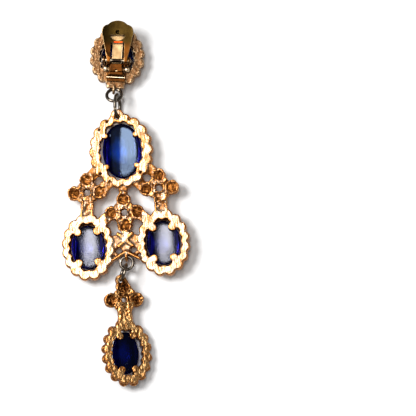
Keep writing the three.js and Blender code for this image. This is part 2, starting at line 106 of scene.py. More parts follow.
def edit(piece: Piece, rule: Rule | None = None) -> None:
    """Opens a piece in edit mode with some of it selected.

    Args:
        piece: The piece to open.
        rule: Says for the middle of each edge whether it is selected. Without one, all is.
    """
    hold(piece)
    bpy.ops.object.mode_set(mode="EDIT")
    bpy.ops.mesh.select_mode(type="EDGE")
    if rule is None:
        bpy.ops.mesh.select_all(action="SELECT")
        return
    bpy.ops.mesh.select_all(action="DESELECT")
    mesh = bmesh.from_edit_mesh(piece.data)
    for edge in mesh.edges:
        middle = (edge.verts[0].co + edge.verts[1].co) / 2
        edge.select_set(bool(rule(middle)))
    bmesh.update_edit_mesh(piece.data)


def settle(piece: Piece) -> Piece:
    """Applies a piece's own place, turn and scale to its mesh.

    Args:
        piece: The piece.

    Returns:
        The piece.
    """
    hold(piece)
    bpy.ops.object.transform_apply(location=True, rotation=True, scale=True)
    return piece


def stretch(piece: Piece, scale: Iterable[float], rule: Rule | None = None, about: Spot | None = None) -> Piece:
    """Scales a piece's mesh along its three axes.

    Args:
        piece: The piece.
        scale: The three scales.
        rule: Says for the middle of each edge whether it takes part. Without one, all does.
        about: Place that stays where it is. Without one, the middle of what takes part does.

    Returns:
        The piece.
    """
    edit(piece, rule)
    centre = {} if about is None else {"center_override": about}
    bpy.ops.transform.resize(value=scale, **centre)
    bpy.ops.object.mode_set(mode="OBJECT")
    return piece


def bevel(piece: Piece, width: float, segments: int, rule: Rule | None = None) -> Piece:
    """Bevels a piece's edges.

    Args:
        piece: The piece.
        width: Width of the bevel; at zero the piece stays as it is.
        segments: Faces across the bevel.
        rule: Says for the middle of each edge whether it is bevelled. Without one, all are.

    Returns:
        The piece.
    """
    if width > 0:
        edit(piece, rule)
        bpy.ops.mesh.bevel(offset=width, segments=segments, affect="EDGES")
        bpy.ops.object.mode_set(mode="OBJECT")
    return piece


def smooth(piece: Piece, degrees: float | None = None) -> Piece:
    """Shades a piece smoothly.

    Args:
        piece: The piece.
        degrees: Edges that bend more than this stay sharp. Without it, none do.

    Returns:
        The piece.
    """
    hold(piece)
    if degrees is None:
        bpy.ops.object.shade_smooth()
    else:
        bpy.ops.object.shade_smooth_by_angle(angle=math.radians(degrees))
    return piece


def oval(half: Point, at: Point, bottom: float, top: float, edge: float = 0.0, sides: int = 64) -> Piece:
    """Upright oval blank with softened rims.

    Args:
        half: Half width and half height.
        at: Its middle.
        bottom: Height of its lower face.
        top: Height of its upper face.
        edge: Width of the bevel on both rims.
        sides: Number of sides.

    Returns:
        The blank.
    """
    clear()
    bpy.ops.mesh.primitive_cylinder_add(
        vertices=sides, radius=1.0, depth=top - bottom, location=(*at, (top + bottom) / 2)
    )
    piece = settle(stretch(bpy.context.object, (*half, 1.0)))
    return bevel(piece, edge, 3, lambda m: min(abs(m.z - top), abs(m.z - bottom)) < TOUCH)


def bar(start: Point, end: Point, width: float, bottom: float, top: float, edge: float = 0.12) -> Piece:
    """Flat bar with round ends between two points.

    Args:
        start: Middle of one end.
        end: Middle of the other end.
        width: Width of the bar.
        bottom: Height of its lower face.
        top: Height of its upper face.
        edge: Width of the bevel along its rims.

    Returns:
        The blank.
    """
    clear()
    run = Vector(end) - Vector(start)
    middle = (Vector(start) + Vector(end)) / 2
    rim = (top - bottom) / 2
    bpy.ops.mesh.primitive_cube_add(size=1.0, location=(0, 0, 0))
    piece = stretch(bpy.context.object, (run.length + width, width, top - bottom))
    bevel(piece, 0.48 * width, 6, lambda m: abs(m.z) < TOUCH)
    bevel(piece, edge, 2, lambda m: abs(abs(m.z) - rim) < TOUCH)
    piece.rotation_euler.z = math.atan2(run.y, run.x)
    piece.location = (middle.x, middle.y, (top + bottom) / 2)
    return settle(piece)


def slab(low: Spot, high: Spot, edge: float = 0.1) -> Piece:
    """Straight block between two corners with bevelled edges.

    Args:
        low: Its lowest corner.
        high: Its highest corner.
        edge: Width of the bevel.

    Returns:
        The blank.
    """
    clear()
    bpy.ops.mesh.primitive_cube_add(size=1.0, location=(Vector(low) + Vector(high)) / 2)
    piece = stretch(bpy.context.object, Vector(high) - Vector(low))
    return settle(bevel(piece, edge, 2))


def globe(half: Spot, at: Spot, rows: int = 20) -> Piece:
    """Ball drawn out about its middle.

    Args:
        half: Its half sizes along the three axes.
        at: Its middle.
        rows: Rows of faces from pole to pole.

    Returns:
        The blank.
    """
    clear()
    bpy.ops.mesh.primitive_uv_sphere_add(segments=2 * rows, ring_count=rows, radius=1.0, location=at)
    return settle(stretch(bpy.context.object, half))


def rod(radius: float, left: float, right: float, y: float, z: float, edge: float = 0.0) -> Piece:
    """Round rod along X.

    Args:
        radius: Its radius.
        left: Its lower end along X.
        right: Its upper end along X.
        y: Its axis's place along Y.
        z: Its axis's place along Z.
        edge: Width of the bevel round both ends.

    Returns:
        The blank.
    """
    clear()
    bpy.ops.mesh.primitive_cylinder_add(
        vertices=40, radius=radius, depth=right - left, location=((left + right) / 2, y, z),
        rotation=(0, math.pi / 2, 0),
    )
    piece = settle(bpy.context.object)
    return bevel(piece, edge, 4, lambda m: min(abs(m.x - left), abs(m.x - right)) < TOUCH)


def hoop(radius: float, wire: float, slit: float = 0.0) -> Piece:
    """Bent wire round Z, spun from its section.

    Args:
        radius: Radius to the middle of the wire.
        wire: Thickness of the wire.
        slit: Angle in degrees that its cut ends stand apart; at zero it is closed.

    Returns:
        The blank, round the origin.
    """
    clear()
    bpy.ops.mesh.primitive_circle_add(
        vertices=20, radius=wire / 2, fill_type="NGON" if slit else "NOTHING",
        location=(radius, 0, 0), rotation=(math.pi / 2, 0, 0),
    )
    piece = settle(bpy.context.object)
    edit(piece)
    bpy.ops.mesh.spin(
        steps=72, angle=math.radians(360 - slit), center=(0, 0, 0), axis=(0, 0, 1), use_auto_merge=False
    )
    bpy.ops.mesh.select_all(action="SELECT")
    bpy.ops.mesh.remove_doubles(threshold=TOUCH)
    bpy.ops.mesh.select_all(action="SELECT")
    bpy.ops.mesh.normals_make_consistent(inside=False)
    bpy.ops.object.mode_set(mode="OBJECT")
    return piece


def eye(radius: float, wire: float, at: Spot) -> Piece:
    """Closed wire loop whose hole looks along X.

    Args:
        radius: Radius to the middle of the wire.
        wire: Thickness of the wire.
        at: Its middle.

    Returns:
        The blank.
    """
    loop = hoop(radius, wire)
    loop.matrix_world = Matrix.Translation(at) @ Matrix.Rotation(math.pi / 2, 4, "Y")
    return settle(loop)


def copies(blank: Piece, places: Iterable[Point]) -> list[Piece]:
    """Copies of a blank, each with its own mesh, with the blank itself used up.

    Args:
        blank: A blank modelled about the origin.
        places: Where each copy goes.

    Returns:
        The copies.
    """
    made = []
    for x, y in places:
        twin = blank.copy()
        twin.data = blank.data.copy()
        bpy.context.scene.collection.objects.link(twin)
        twin.location = (x, y, 0)
        made.append(settle(twin))
    bpy.data.objects.remove(blank)
    return made


def fuse(blanks: list[Piece], grain: float) -> Piece:
    """Joins blanks that run into each other into one skin.

    Args:
        blanks: The blanks.
        grain: Size of the skin's faces.

    Returns:
        The fused piece.
    """
    piece = hold(*blanks)
    if len(blanks) > 1:
        bpy.ops.object.join()
    skin = piece.modifiers.new("Skin", "REMESH")
    skin.mode, skin.voxel_size = "VOXEL", grain
    bpy.ops.object.modifier_apply(modifier=skin.name)
    return piece


def combine(piece: Piece, other: Piece, operation: str) -> Piece:
    """Cuts a piece by another one or welds that one on, and uses the other one up.

    Args:
        piece: The piece.
        other: The other one.
        operation: The boolean's name.

    Returns:
        The piece.
    """
    hold(piece)
    step = piece.modifiers.new("Combine", "BOOLEAN")
    step.operation, step.solver, step.object = operation, "MANIFOLD", other
    bpy.ops.object.modifier_apply(modifier=step.name)
    bpy.data.objects.remove(other)
    return piece


def carve(metal: Piece, cutters: list[Piece], grain: float) -> Piece:
    """Takes cutters out of a fused piece.

    Args:
        metal: The fused piece.
        cutters: Blanks that are fused before they cut.
        grain: Size of the fused cutters' faces.

    Returns:
        The piece.
    """
    return combine(metal, fuse(cutters, grain), "DIFFERENCE")


def soften(piece: Piece, grain: float, passes: int) -> Piece:
    """Evens a carved piece out as casting does.

    Args:
        piece: The carved piece.
        grain: Size of its faces.
        passes: How often its surface is smoothed.

    Returns:
        The piece.
    """
    hold(fuse([piece], grain))
    rub = piece.modifiers.new("Rub", "SMOOTH")
    rub.factor, rub.iterations = 0.5, passes
    bpy.ops.object.modifier_apply(modifier=rub.name)
    return smooth(piece)


def roughen(piece: Piece, name: str, size: float, strength: float, share: np.ndarray | None = None) -> None:
    """Works a cast unevenness into a piece's surface.

    Args:
        piece: The piece.
        name: Name for the pattern.
        size: Size of its lumps.
        strength: Height from its lowest to its highest point.
        share: For each vertex, how much of it applies, from 0 to 1.
    """
    pattern = bpy.data.textures.new(name, "CLOUDS")
    pattern.noise_scale, pattern.noise_depth = size, 2
    hold(piece)
    push = piece.modifiers.new(name, "DISPLACE")
    push.texture, push.texture_coords = pattern, "LOCAL"
    push.strength, push.mid_level = strength, 0.55
    if share is not None:
        group = piece.vertex_groups.new(name=name)
        for step in range(1, 11):
            chosen = np.nonzero(np.round(share * 10) == step)[0]
            if len(chosen):
                group.add(chosen.tolist(), step / 10, "REPLACE")
        push.vertex_group = name
    bpy.ops.object.modifier_apply(modifier=push.name)
    bpy.data.textures.remove(pattern)
    piece.vertex_groups.clear()


def vertices_of(piece: Piece) -> tuple[np.ndarray, np.ndarray]:
    """Places and normals of a piece's vertices.

    Args:
        piece: The piece.

    Returns:
        The places and the normals, one row to each vertex.
    """
    mesh = piece.data
    places, normals = (np.empty(3 * len(mesh.vertices), np.float32) for _ in range(2))
    mesh.vertices.foreach_get("co", places)
    mesh.vertex_normals.foreach_get("vector", normals)
    return places.reshape(-1, 3), normals.reshape(-1, 3)


def facing_up(normals: np.ndarray) -> np.ndarray:
    """How much each vertex faces +Z, from 0 to 1."""
    return np.clip(normals[:, 2] * 2, 0, 1)


def mark(piece: Piece, name: str, values: np.ndarray) -> None:
    """Keeps one number for each vertex of a piece, under a name that materials read."""
    kept = piece.data.attributes.new(name, "FLOAT", "POINT")
    kept.data.foreach_set("value", values.astype(np.float32))


def mark_relief(piece: Piece, spread: int = 3) -> None:
    """Marks how far each vertex lies below the back face, and how its surface bends.

    Args:
        piece: A piece in its own frame, with its back on z = 0.
        spread: How often the bend is evened out over neighbouring vertices.
    """
    places, normals = vertices_of(piece)
    mesh = piece.data
    ends = np.empty(2 * len(mesh.edges), np.int32)
    mesh.edges.foreach_get("vertices", ends)
    ends = ends.reshape(-1, 2)
    one, two = ends[:, 0], ends[:, 1]
    count = np.bincount(ends.ravel(), minlength=len(places)).clip(1)

    def average(values: np.ndarray) -> np.ndarray:
        """Mean of each vertex's neighbours."""
        total = np.bincount(one, values[two], len(places)) + np.bincount(two, values[one], len(places))
        return total / count

    pull = np.stack([average(places[:, i]) for i in range(3)], 1) - places
    bend = -(pull * normals).sum(1) / np.linalg.norm(places[one] - places[two], axis=1).mean()
    for _ in range(spread):
        bend = 0.4 * bend + 0.6 * average(bend)
    mark(piece, "bend", bend * 6)
    mark(piece, "depth", -places[:, 2])


def around(half: Point, count: int, phase: float = 0.0) -> list[Point]:
    """Points at even distances along an oval.

    Args:
        half: Half width and half height of the oval.
        count: How many points.
        phase: Share of a step by which the first one is moved on from +X.

    Returns:
        The points.
    """
    turn = np.linspace(0, 2 * math.pi, 2001)
    line = np.stack([half[0] * np.cos(turn), half[1] * np.sin(turn)], 1)
    run = np.concatenate([[0], np.cumsum(np.linalg.norm(np.diff(line, axis=0), axis=1))])
    wanted = (np.arange(count) + phase) / count * run[-1]
    return [(float(np.interp(w, run, line[:, 0])), float(np.interp(w, run, line[:, 1]))) for w in wanted]


def lay(
    piece: Piece, finish: bpy.types.Material, name: str, pose: Matrix, body: Body, slot: str, *nodes: str
) -> Piece:
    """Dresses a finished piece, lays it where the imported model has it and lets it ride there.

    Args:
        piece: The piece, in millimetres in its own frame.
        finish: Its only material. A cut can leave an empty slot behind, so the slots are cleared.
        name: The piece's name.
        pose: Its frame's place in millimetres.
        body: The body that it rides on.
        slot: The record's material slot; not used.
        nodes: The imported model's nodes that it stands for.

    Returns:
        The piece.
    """
    piece.data.materials.clear()
    piece.data.materials.append(finish)
    piece.name = piece.data.name = name
    piece.matrix_world = Matrix.Scale(MM, 4) @ pose
    settle(piece)
    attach(piece, body.value)
    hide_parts(*nodes)
    LOG.info("%s: %d faces, rides on %s", name, len(piece.data.polygons), body.value)
    return piece


def placed(x: float, y: float, z: float, turn: float = 0.0, roll: float = 0.0) -> Matrix:
    """Frame of a piece in the earring.

    Args:
        x: Its place along +X in millimetres.
        y: Its place along +Y.
        z: Its place along +Z.
        turn: Its turn about +Z in degrees.
        roll: Its roll about its own +Y in degrees.

    Returns:
        The frame.
    """
    turned, rolled = (Matrix.Rotation(math.radians(a), 4, axis) for a, axis in ((turn, "Z"), (roll, "Y")))
    return Matrix.Translation((x, y, z)) @ turned @ rolled


def ring_pose(place: Spot, turn: tuple[float, float, float, float]) -> Matrix:
    """Frame of a jump ring from its middle in millimetres and its quaternion w, x, y, z."""
    return Matrix.Translation(place) @ Quaternion(turn).to_matrix().to_4x4()


# Where the three castings lie in the earring, in millimetres and degrees.
PENDANT = placed(-1.34601, 14.34401, 4.6, 3.0)
CLIP = placed(-2.45, 40.03191, 4.5825, -3.3, 5.0)
DROP = placed(0.73808, -40.5309, 4.68715, 3.9, 18.0)


# ---------------------------------------------------------------- finishes


class NodeBoard:
    """A material's node tree with short ways to add and join its nodes."""

    def __init__(self, name: str) -> None:
        """Starts a material with its surface shader.

        Args:
            name: The material's name.
        """
        self.material = bpy.data.materials.new(name)
        self.material.use_nodes = True
        self.tree = self.material.node_tree
        self.shader = self.tree.nodes["Principled BSDF"]

    def put(self, kind: str, inputs: dict[str | int, object] | None = None, **settings: object) -> bpy.types.Node:
        """Adds a node.

        Args:
            kind: The node's type.
            inputs: For each input, an output to join to it or a value.
            settings: The node's own settings.

        Returns:
            The node.
        """
        node = self.tree.nodes.new(kind)
        for key, value in settings.items():
            setattr(node, key, value)
        self.feed(node, inputs or {})
        return node

    def feed(self, node: bpy.types.Node, inputs: dict[str | int, object]) -> None:
        """Joins outputs to a node's inputs or sets their values.

        Args:
            node: The node.
            inputs: For each input, an output to join to it or a value.
        """
        for key, value in inputs.items():
            if isinstance(value, Socket):
                self.tree.links.new(value, node.inputs[key])
            else:
                node.inputs[key].default_value = value

    def noise(self, scale: float, detail: float, stretched: Spot = (1, 1, 1), turn: float = 0.0) -> Socket:
        """Noise on the piece's own coordinates.

        Args:
            scale: Lumps to a millimetre.
            detail: Finer levels.
            stretched: Shares of the scale along the three axes.
            turn: Turn of the pattern about +Z in degrees.

        Returns:
            Its strength.
        """
        place = self.put("ShaderNodeTexCoord").outputs["Object"]
        spun = self.put("ShaderNodeMapping", {0: place, "Rotation": (0, 0, math.radians(-turn))})
        scales = tuple(share / MM for share in stretched)
        drawn = self.put("ShaderNodeMapping", {0: spun.outputs[0], "Scale": scales})
        made = self.put("ShaderNodeTexNoise", {"Vector": drawn.outputs[0], "Scale": scale, "Detail": detail})
        return made.outputs["Fac"]

    def range(self, value: Socket, low: float, high: float, first: float = 0.0, last: float = 1.0) -> Socket:
        """Maps a span of a number smoothly to another span.

        Args:
            value: The number.
            low: Start of its span.
            high: End of its span.
            first: What the start becomes.
            last: What the end becomes.

        Returns:
            The mapped number.
        """
        made = self.put(
            "ShaderNodeMapRange",
            {"Value": value, "From Min": low, "From Max": high, "To Min": first, "To Max": last},
            interpolation_type="SMOOTHSTEP",
        )
        return made.outputs["Result"]

    def blend(self, share: Socket, one: object, two: object) -> Socket:
        """Mixes two colours.

        Args:
            share: Share of the second.
            one: The first, a colour or an output.
            two: The second.

        Returns:
            The mixed colour.
        """
        full = [(*c, 1.0) if isinstance(c, tuple) else c for c in (one, two)]
        made = self.put("ShaderNodeMix", {0: share, 6: full[0], 7: full[1]}, data_type="RGBA")
        return made.outputs[2]

    def sum(self, one: object, two: object, kind: str = "ADD") -> Socket:
        """Joins two numbers by a sum, or by another operation of that name."""
        return self.put("ShaderNodeMath", {0: one, 1: two}, operation=kind).outputs[0]

    def times(self, one: object, two: object) -> Socket:
        """Product of two numbers."""
        return self.sum(one, two, "MULTIPLY")

    def kept(self, name: str) -> Socket:
        """A number that the piece keeps for each vertex; zero where it keeps none."""
        return self.put("ShaderNodeAttribute", attribute_name=name).outputs["Fac"]

    def finish(self, inputs: dict[str, object], height: Socket, strength: float, depth: float) -> bpy.types.Material:
        """Feeds the surface shader and gives it a fine relief.

        Args:
            inputs: For each of its inputs, an output or a value.
            height: Height of the relief from 0 to 1.
            strength: Share of the relief that shows.
            depth: Depth of the relief in millimetres.

        Returns:
            The finished material.
        """
        relief = self.put("ShaderNodeBump", {"Height": height, "Strength": strength, "Distance": depth * MM})
        self.feed(self.shader, {**inputs, "Normal": relief.outputs[0]})
        return self.material


@dataclass(frozen=True)
class CastGilt:
    """Gilt casting: rubbed on its back, rough in its hollows, with painted shade deep orange-brown in its grooves,
    recesses, creases and front, and painted light on its edges and recess rims.
    """

    name: str
    bright: Colour
    warm: Colour
    groove: Colour
    turn: float
    scratches: float
    roughness: float = 0.34
    # Colour of the front, which faces the floor: painted shade.
    front: Colour = (0.5, 0.25, 0.08)
    # Colour of the back's convex edges, standing for wear and painted light. Without it the warm colour is used.
    edge: Colour | None = None
    line: Colour | None = None
    # Tint of the bright colour that is painted on convex bends in the recesses as highlight.
    recess_highlight: Colour = (1.0, 0.82, 0.55)
    # Share of the groove colour painted into concave creases as shade.
    crease_shade: float = 0.35

    def material(self) -> bpy.types.Material:
        """Builds the finish.

        Returns:
            The material.
        """
        board = NodeBoard(self.name)
        depth, bend = board.kept("depth"), board.kept("bend")
        streaks = board.noise(3.7, 4.0, (1.0, 0.1, 1.0), self.turn)
        blotch, grit = board.noise(0.55, 4.0), board.noise(4.0, 3.0)
        below, front = board.range(depth, 0.1, 0.42), board.range(depth, 1.3, 1.9)

        drawn = board.sum(streaks, board.times(board.kept("streaked"), 0.045))
        scratched = board.range(board.sum(drawn, board.times(blotch, 0.5)), 0.7, 0.86)
        back = board.blend(board.times(scratched, self.scratches), self.bright, self.line or self.warm)
        # Convex edges take the edge colour: partly worn gilding, partly painted light, as shade with the warm colour
        # and as highlight with a pale one.
        back = board.blend(board.range(bend, 0.06, 0.32, 0.0, 0.92), back, self.edge or self.warm)
        # Everything below the back face, walls and cups alike, takes the darker orange-brown hollow colour: painted
        # shade. Its grit mottling is random tone.
        hollow = board.blend(board.range(grit, 0.35, 0.68), self.groove, self.warm)
        # Convex bends in the recesses are lightened towards a golden tint: painted highlight.
        recess_highlight = tuple(colour * share for colour, share in zip(self.bright, self.recess_highlight))
        hollow = board.blend(board.range(bend, 0.1, 0.9), hollow, recess_highlight)
        tone = board.blend(below, back, hollow)
        # Concave creases are darkened towards this colour: painted shade.
        crease_shade = tuple(self.crease_shade * colour for colour in self.groove)
        tone = board.blend(board.range(bend, -0.08, -0.7, 0.0, 0.9), tone, crease_shade)

        rubbed = board.sum(grit, board.times(below, 0.3))
        rough = board.range(rubbed, 0.3, 0.95, self.roughness - 0.1, self.roughness + 0.22)
        polish = board.times(front, self.roughness - 0.04)
        # The front takes the front colour as painted shade and is polished.
        return board.finish(
            {
                "Base Color": board.blend(front, tone, self.front),
                "Metallic": 1.0,
                "Roughness": board.sum(rough, polish, "SUBTRACT"),
            },
            board.sum(board.times(streaks, 0.55), board.times(grit, 0.6)), 0.7, 0.14,
        )


@dataclass(frozen=True)
class SheetMetal:
    """Rolled or drawn metal with fine lines along it, edges lightened by wear and painted highlight, and, if named,
    a foot and a strip of painted light.
    """

    name: str
    tone: Colour
    # Colour of convex bends: wear and painted highlight.
    worn: Colour
    dull: Colour
    roughness: float
    lines: Spot = (0.25, 1.0, 1.0)
    # Colour painted where the piece's along number is small: painted light, set for each piece.
    foot: Colour | None = None
    # Colour of a strip painted across the piece as a reflection.
    fold_reflection: Colour | None = None

    def material(self) -> bpy.types.Material:
        """Builds the finish.

        Returns:
            The material.
        """
        board = NodeBoard(self.name)
        patch = board.noise(0.35, 4.0)
        tone = board.blend(board.range(patch, 0.38, 0.66), self.tone, self.dull)
        # Where the along number is small the foot colour is painted in: painted light.
        if self.foot is not None:
            tone = board.blend(board.range(board.kept("along"), 0.5, 0.22), tone, self.foot)
        # Convex bends take the worn colour: partly wear, partly painted highlight.
        tone = board.blend(board.range(board.kept("bend"), 0.2, 0.8), tone, self.worn)
        # A red-orange strip where the paddle bends is painted on as a reflection.
        if self.fold_reflection is not None:
            tone = board.blend(board.range(board.kept("fold_reflection"), 0.3, 0.7), tone, self.fold_reflection)
        rough = board.range(patch, 0.2, 0.8, self.roughness - 0.08, self.roughness + 0.14)
        return board.finish(
            {"Base Color": tone, "Metallic": 1.0, "Roughness": rough}, board.noise(6.0, 2.0, self.lines), 0.25, 0.05
        )


@dataclass(frozen=True)
class BlueGlass:
    """Deep sapphire glass with a rubbed back, painted nearly black at its edge as shade and brighter inside as light
    passing through, with painted glints along its flanks.
    """

    name: str
    haze: float = 0.02
    rubbed: float = 0.22
    speckle: float = 0.12
    bend: float = 1.85
    clear: float = 0.88
    # Painted shade at the stone's edge.
    edge: Colour = (0.002, 0.002, 0.035)
    lit_core: Colour = (0.012, 0.15, 0.7)
    flank_glint: Colour = (0.03, 0.025, 0.85)
    sheen: Colour = (0.5, 0.68, 1.0)

    def material(self) -> bpy.types.Material:
        """Builds the finish.

        Returns:
            The material.
        """
        board = NodeBoard(self.name)
        scuff = board.noise(4.5, 6.0)
        cloud = board.range(board.noise(0.4, 2.0), 0.3, 0.7, -0.12, 0.12)
        # Brighter blue towards the middle and nearly black at the edge: painted light through the stone and painted
        # shade at its edge.
        inner = board.range(board.sum(board.kept("lit_core"), cloud), 0.3, 0.95)
        # Bright blue streaks along the flanks: painted light refracted through the stone's sides.
        lit = board.range(board.noise(1.7, 2.0, (1.0, 0.07, 1.0)), 0.47, 0.6)
        streaked = board.times(lit, board.range(board.kept("flank"), 0.38, 0.62))
        worn = board.times(board.range(scuff, 0.48, 0.64), board.range(board.kept("low"), 0.1, 0.7))
        return board.finish(
            {
                "Base Color": board.blend(streaked, board.blend(inner, self.edge, self.lit_core), self.flank_glint),
                "IOR": board.range(board.kept("gloss"), 0.0, 1.0, 1.03, self.bend),
                "Transmission Weight": self.clear,
                "Specular Tint": (*self.sheen, 1.0),
                "Roughness": board.sum(board.times(worn, self.rubbed), self.haze),
            },
            board.times(scuff, board.sum(worn, self.speckle)), 0.6, 0.05,
        )


GILT = CastGilt(
    "gilt_cast", bright=(0.63, 0.48, 0.34), warm=(0.52, 0.2, 0.045), groove=(0.3, 0.1, 0.018), turn=3.0,
    scratches=1.0, line=(0.33, 0.145, 0.045),
)
# The drop's copy of the gilt, with deep grooves and a dark front: painted shade on the tilted drop.
DARK_GILT = CastGilt(
    "dark_gilt_cast", bright=(0.86, 0.5, 0.2), warm=(0.42, 0.15, 0.032), groove=(0.09, 0.024, 0.006), turn=3.9,
    scratches=0.9, roughness=0.33, front=(0.2, 0.085, 0.03),
)
# Darker copy of the gilt for the tilted clip casting: its dark colours are painted shade and its pale edges are
# painted highlight mixed with wear. Its higher roughness is its matte finish.
SHADED_MATTE_GILT = CastGilt(
    "shaded_matte_gilt_cast", bright=(0.2, 0.1, 0.042), warm=(0.14, 0.055, 0.018), groove=(0.1, 0.035, 0.01), turn=-3.3,
    scratches=0.8, roughness=0.46, edge=(0.6, 0.4, 0.22),
)
# Its pale foot colour is a painted highlight on the nubs and the fold.
PLATE = SheetMetal(
    "bracket_plate", tone=(0.055, 0.017, 0.003), worn=(0.6, 0.33, 0.12), dull=(0.035, 0.012, 0.003),
    roughness=0.24, foot=(0.95, 0.72, 0.45),
)
# Its orange-brown foot colour near the hinge and its red-orange strip are painted reflections.
BRONZE = SheetMetal(
    "bronze_paddle", tone=(0.036, 0.02, 0.004), worn=(0.42, 0.28, 0.12), dull=(0.018, 0.009, 0.002),
    roughness=0.31, foot=(0.14, 0.045, 0.007), fold_reflection=(0.75, 0.07, 0.01),
)
BRASS = SheetMetal(
    "spring_brass", tone=(0.42, 0.27, 0.13), worn=(0.8, 0.6, 0.35), dull=(0.33, 0.2, 0.085), roughness=0.36
)
GUNMETAL = SheetMetal(
    "worn_gunmetal", tone=(0.17, 0.14, 0.11), worn=(0.7, 0.58, 0.42), dull=(0.09, 0.075, 0.06), roughness=0.24
)
# Its near-black foot colour is painted shade on the middle of the pin.
PIN_STEEL = SheetMetal(
    "pin_steel", tone=(0.5, 0.4, 0.28), worn=(0.9, 0.8, 0.62), dull=(0.3, 0.22, 0.15), roughness=0.24,
    foot=(0.02, 0.012, 0.008),
)
CLEAR_GLASS = BlueGlass("sapphire_glass")
RUBBED_GLASS = BlueGlass(
    "rubbed_glass", haze=0.08, rubbed=0.12, speckle=0.5, bend=1.95, lit_core=(0.01, 0.03, 0.4), sheen=(0.88, 0.88, 1.0)
)
SHADED_GLASS = BlueGlass("shaded_glass", bend=1.3, lit_core=(0.002, 0.012, 0.25), flank_glint=(0.005, 0.005, 0.12))


# ---------------------------------------------------------------- settings, foils and stones


def shrunk(half: Point, by: float) -> Point:
    """Half sizes of an oval that lies inside another one by an even distance."""
    return half[0] - by, half[1] - by


@dataclass(frozen=True)
class OvalSetting:
    """Beaded oval rim with wall, back tabs and front claws that hold a stone."""

    half: Point
    opening: Point
    beads: int
    tab: Point
    tab_width: float
    at: Point = (0.0, 0.0)
    thickness: float = 1.6
    wall: float = 3.2
    girdle: float = 1.25
    front_dome: float = 3.35
    back_dome: float = 0.6
    lip: float = 0.12
    snug: bool = True
    play: float = 0.5
    lobe_share: float = 0.51
    bead_share: float = 0.42
    bite_share: float = 0.27
    bite_inset: float = 0.75
    tab_depth: float = 0.5
    sides: int = 96

    def pitch(self) -> float:
        """Distance from one bead to the next."""
        a, b = self.half
        return math.pi * (3 * (a + b) - math.sqrt((3 * a + b) * (a + 3 * b))) / self.beads

    def row(self, half: Point) -> list[Point]:
        """One point beside each bead, along an oval about the setting's middle."""
        phase = (self.beads / 4 + 0.5) % 1
        return [(x + self.at[0], y + self.at[1]) for x, y in around(half, self.beads, phase)]

    def near_rim(self, side: int, degrees: float) -> Vector:
        """A point near the rim from its middle, at an angle up from +X, or from -X for side -1."""
        turn = math.radians(degrees)
        return 0.93 * Vector((side * self.half[0] * math.cos(turn), self.half[1] * math.sin(turn)))

    def metal(self) -> list[Piece]:
        """Models the lobed plate, the wall and the beads.

        Returns:
            Their blanks.
        """
        lobe, bead = self.lobe_share * self.pitch(), self.bead_share * self.pitch()
        puck = oval((lobe - 0.05, lobe - 0.05), (0, 0), -self.thickness, 0, 0.3, 32)
        ball = globe((bead, bead, bead), (0, 0, 0.05 - self.wall + bead), 10)
        plate = shrunk(self.half, 1.1 * lobe)
        return [
            *copies(puck, self.row(shrunk(self.half, lobe + self.lip))),
            *copies(ball, self.row(shrunk(self.half, bead + 0.08))),
            oval(plate, self.at, -self.thickness, 0.0, 0.0, self.sides),
            oval(plate, self.at, -self.wall, -0.2, 0.25, self.sides),
        ]

    def tabs(self) -> list[Piece]:
        """Models the four back tabs and the four front claws.

        Returns:
            Their blanks.
        """
        parts, width, here = [], self.tab_width, Vector(self.at)
        stone, ring = shrunk(self.opening, self.play), shrunk(self.opening, -0.6)
        drop = self.wall - self.tab_depth - self.girdle
        section = math.sqrt(max(0.0, 1 - (drop / self.front_dome) ** 2))
        for sx, sy in CORNERS:
            tip = Vector((sx * self.tab[0], sy * self.tab[1]))
            root = tip / math.hypot(tip.x / ring[0], tip.y / ring[1])
            claw = tip / math.hypot(tip.x / (stone[0] * section), tip.y / (stone[1] * section))
            claw = claw.normalized() * (claw.length + 0.2 + width / 2)
            tip = tip.normalized() * (tip.length + width / 2)
            parts += [
                bar(root + here, tip + here, width, -self.tab_depth, -0.02, 0.14),
                oval((width * 0.55,) * 2, tuple(tip + here), -0.48, 0.04, 0.18, 24),
                bar(root + here, claw + here, width, -self.wall, self.tab_depth - self.wall),
            ]
        return parts

    def cutters(self) -> list[Piece]:
        """Models what the opening takes away, bitten outwards at each bead.

        Returns:
            Its blanks.
        """
        through = -self.wall - 1
        bite = oval((self.bite_share * self.pitch(),) * 2, (0, 0), -1.0 if self.snug else through, 1.0, 0.0, 24)
        return [
            *copies(bite, self.row(shrunk(self.opening, self.bite_inset))),
            oval(shrunk(self.opening, 0.3), self.at, through, 1.0, 0.0, self.sides),
        ]

    def stone(self, lean: float = 0.0, shift: float = 0.0) -> Piece:
        """Models the cabochon with its high front dome and low back.

        Args:
            lean: Lean of the stone's back about +Y in degrees.
            shift: How far along X the stone sits from the setting's middle, which it loses in width.

        Returns:
            The stone.
        """
        half = (self.opening[0] - self.play - abs(shift) / 2, self.opening[1] - self.play)
        piece = globe((*half, 1.0), (0, 0, 0), 40)
        stretch(piece, (1, 1, self.back_dome), lambda m: m.z > TOUCH, (0, 0, 0))
        stretch(piece, (1, 1, self.front_dome), lambda m: m.z < -TOUCH, (0, 0, 0))
        smooth(piece)
        places, _ = vertices_of(piece)
        across, along = places[:, 0] / half[0], places[:, 1] / half[1]
        inside = np.clip((1.0 - np.hypot(across, along)) * 6, 0, 1)
        # Highest near the middle, a little left of it, where the brighter painted light through the stone goes.
        mark(piece, "lit_core", 1.05 - np.hypot((across + 0.12) * 1.25, along))
        mark(piece, "low", np.clip(-along, 0, 1) * np.clip((across + 0.2) * 5, 0, 1))
        mark(piece, "gloss", np.clip((across + 0.62) * 6, 0, 1) * inside)
        # Which parts are flanks, where the painted glints show.
        mark(piece, "flank", np.abs(across) - 0.5 * np.abs(along))
        piece.rotation_euler.y = math.radians(lean)
        piece.location = (self.at[0] + shift, self.at[1], -self.girdle)
        return settle(piece)


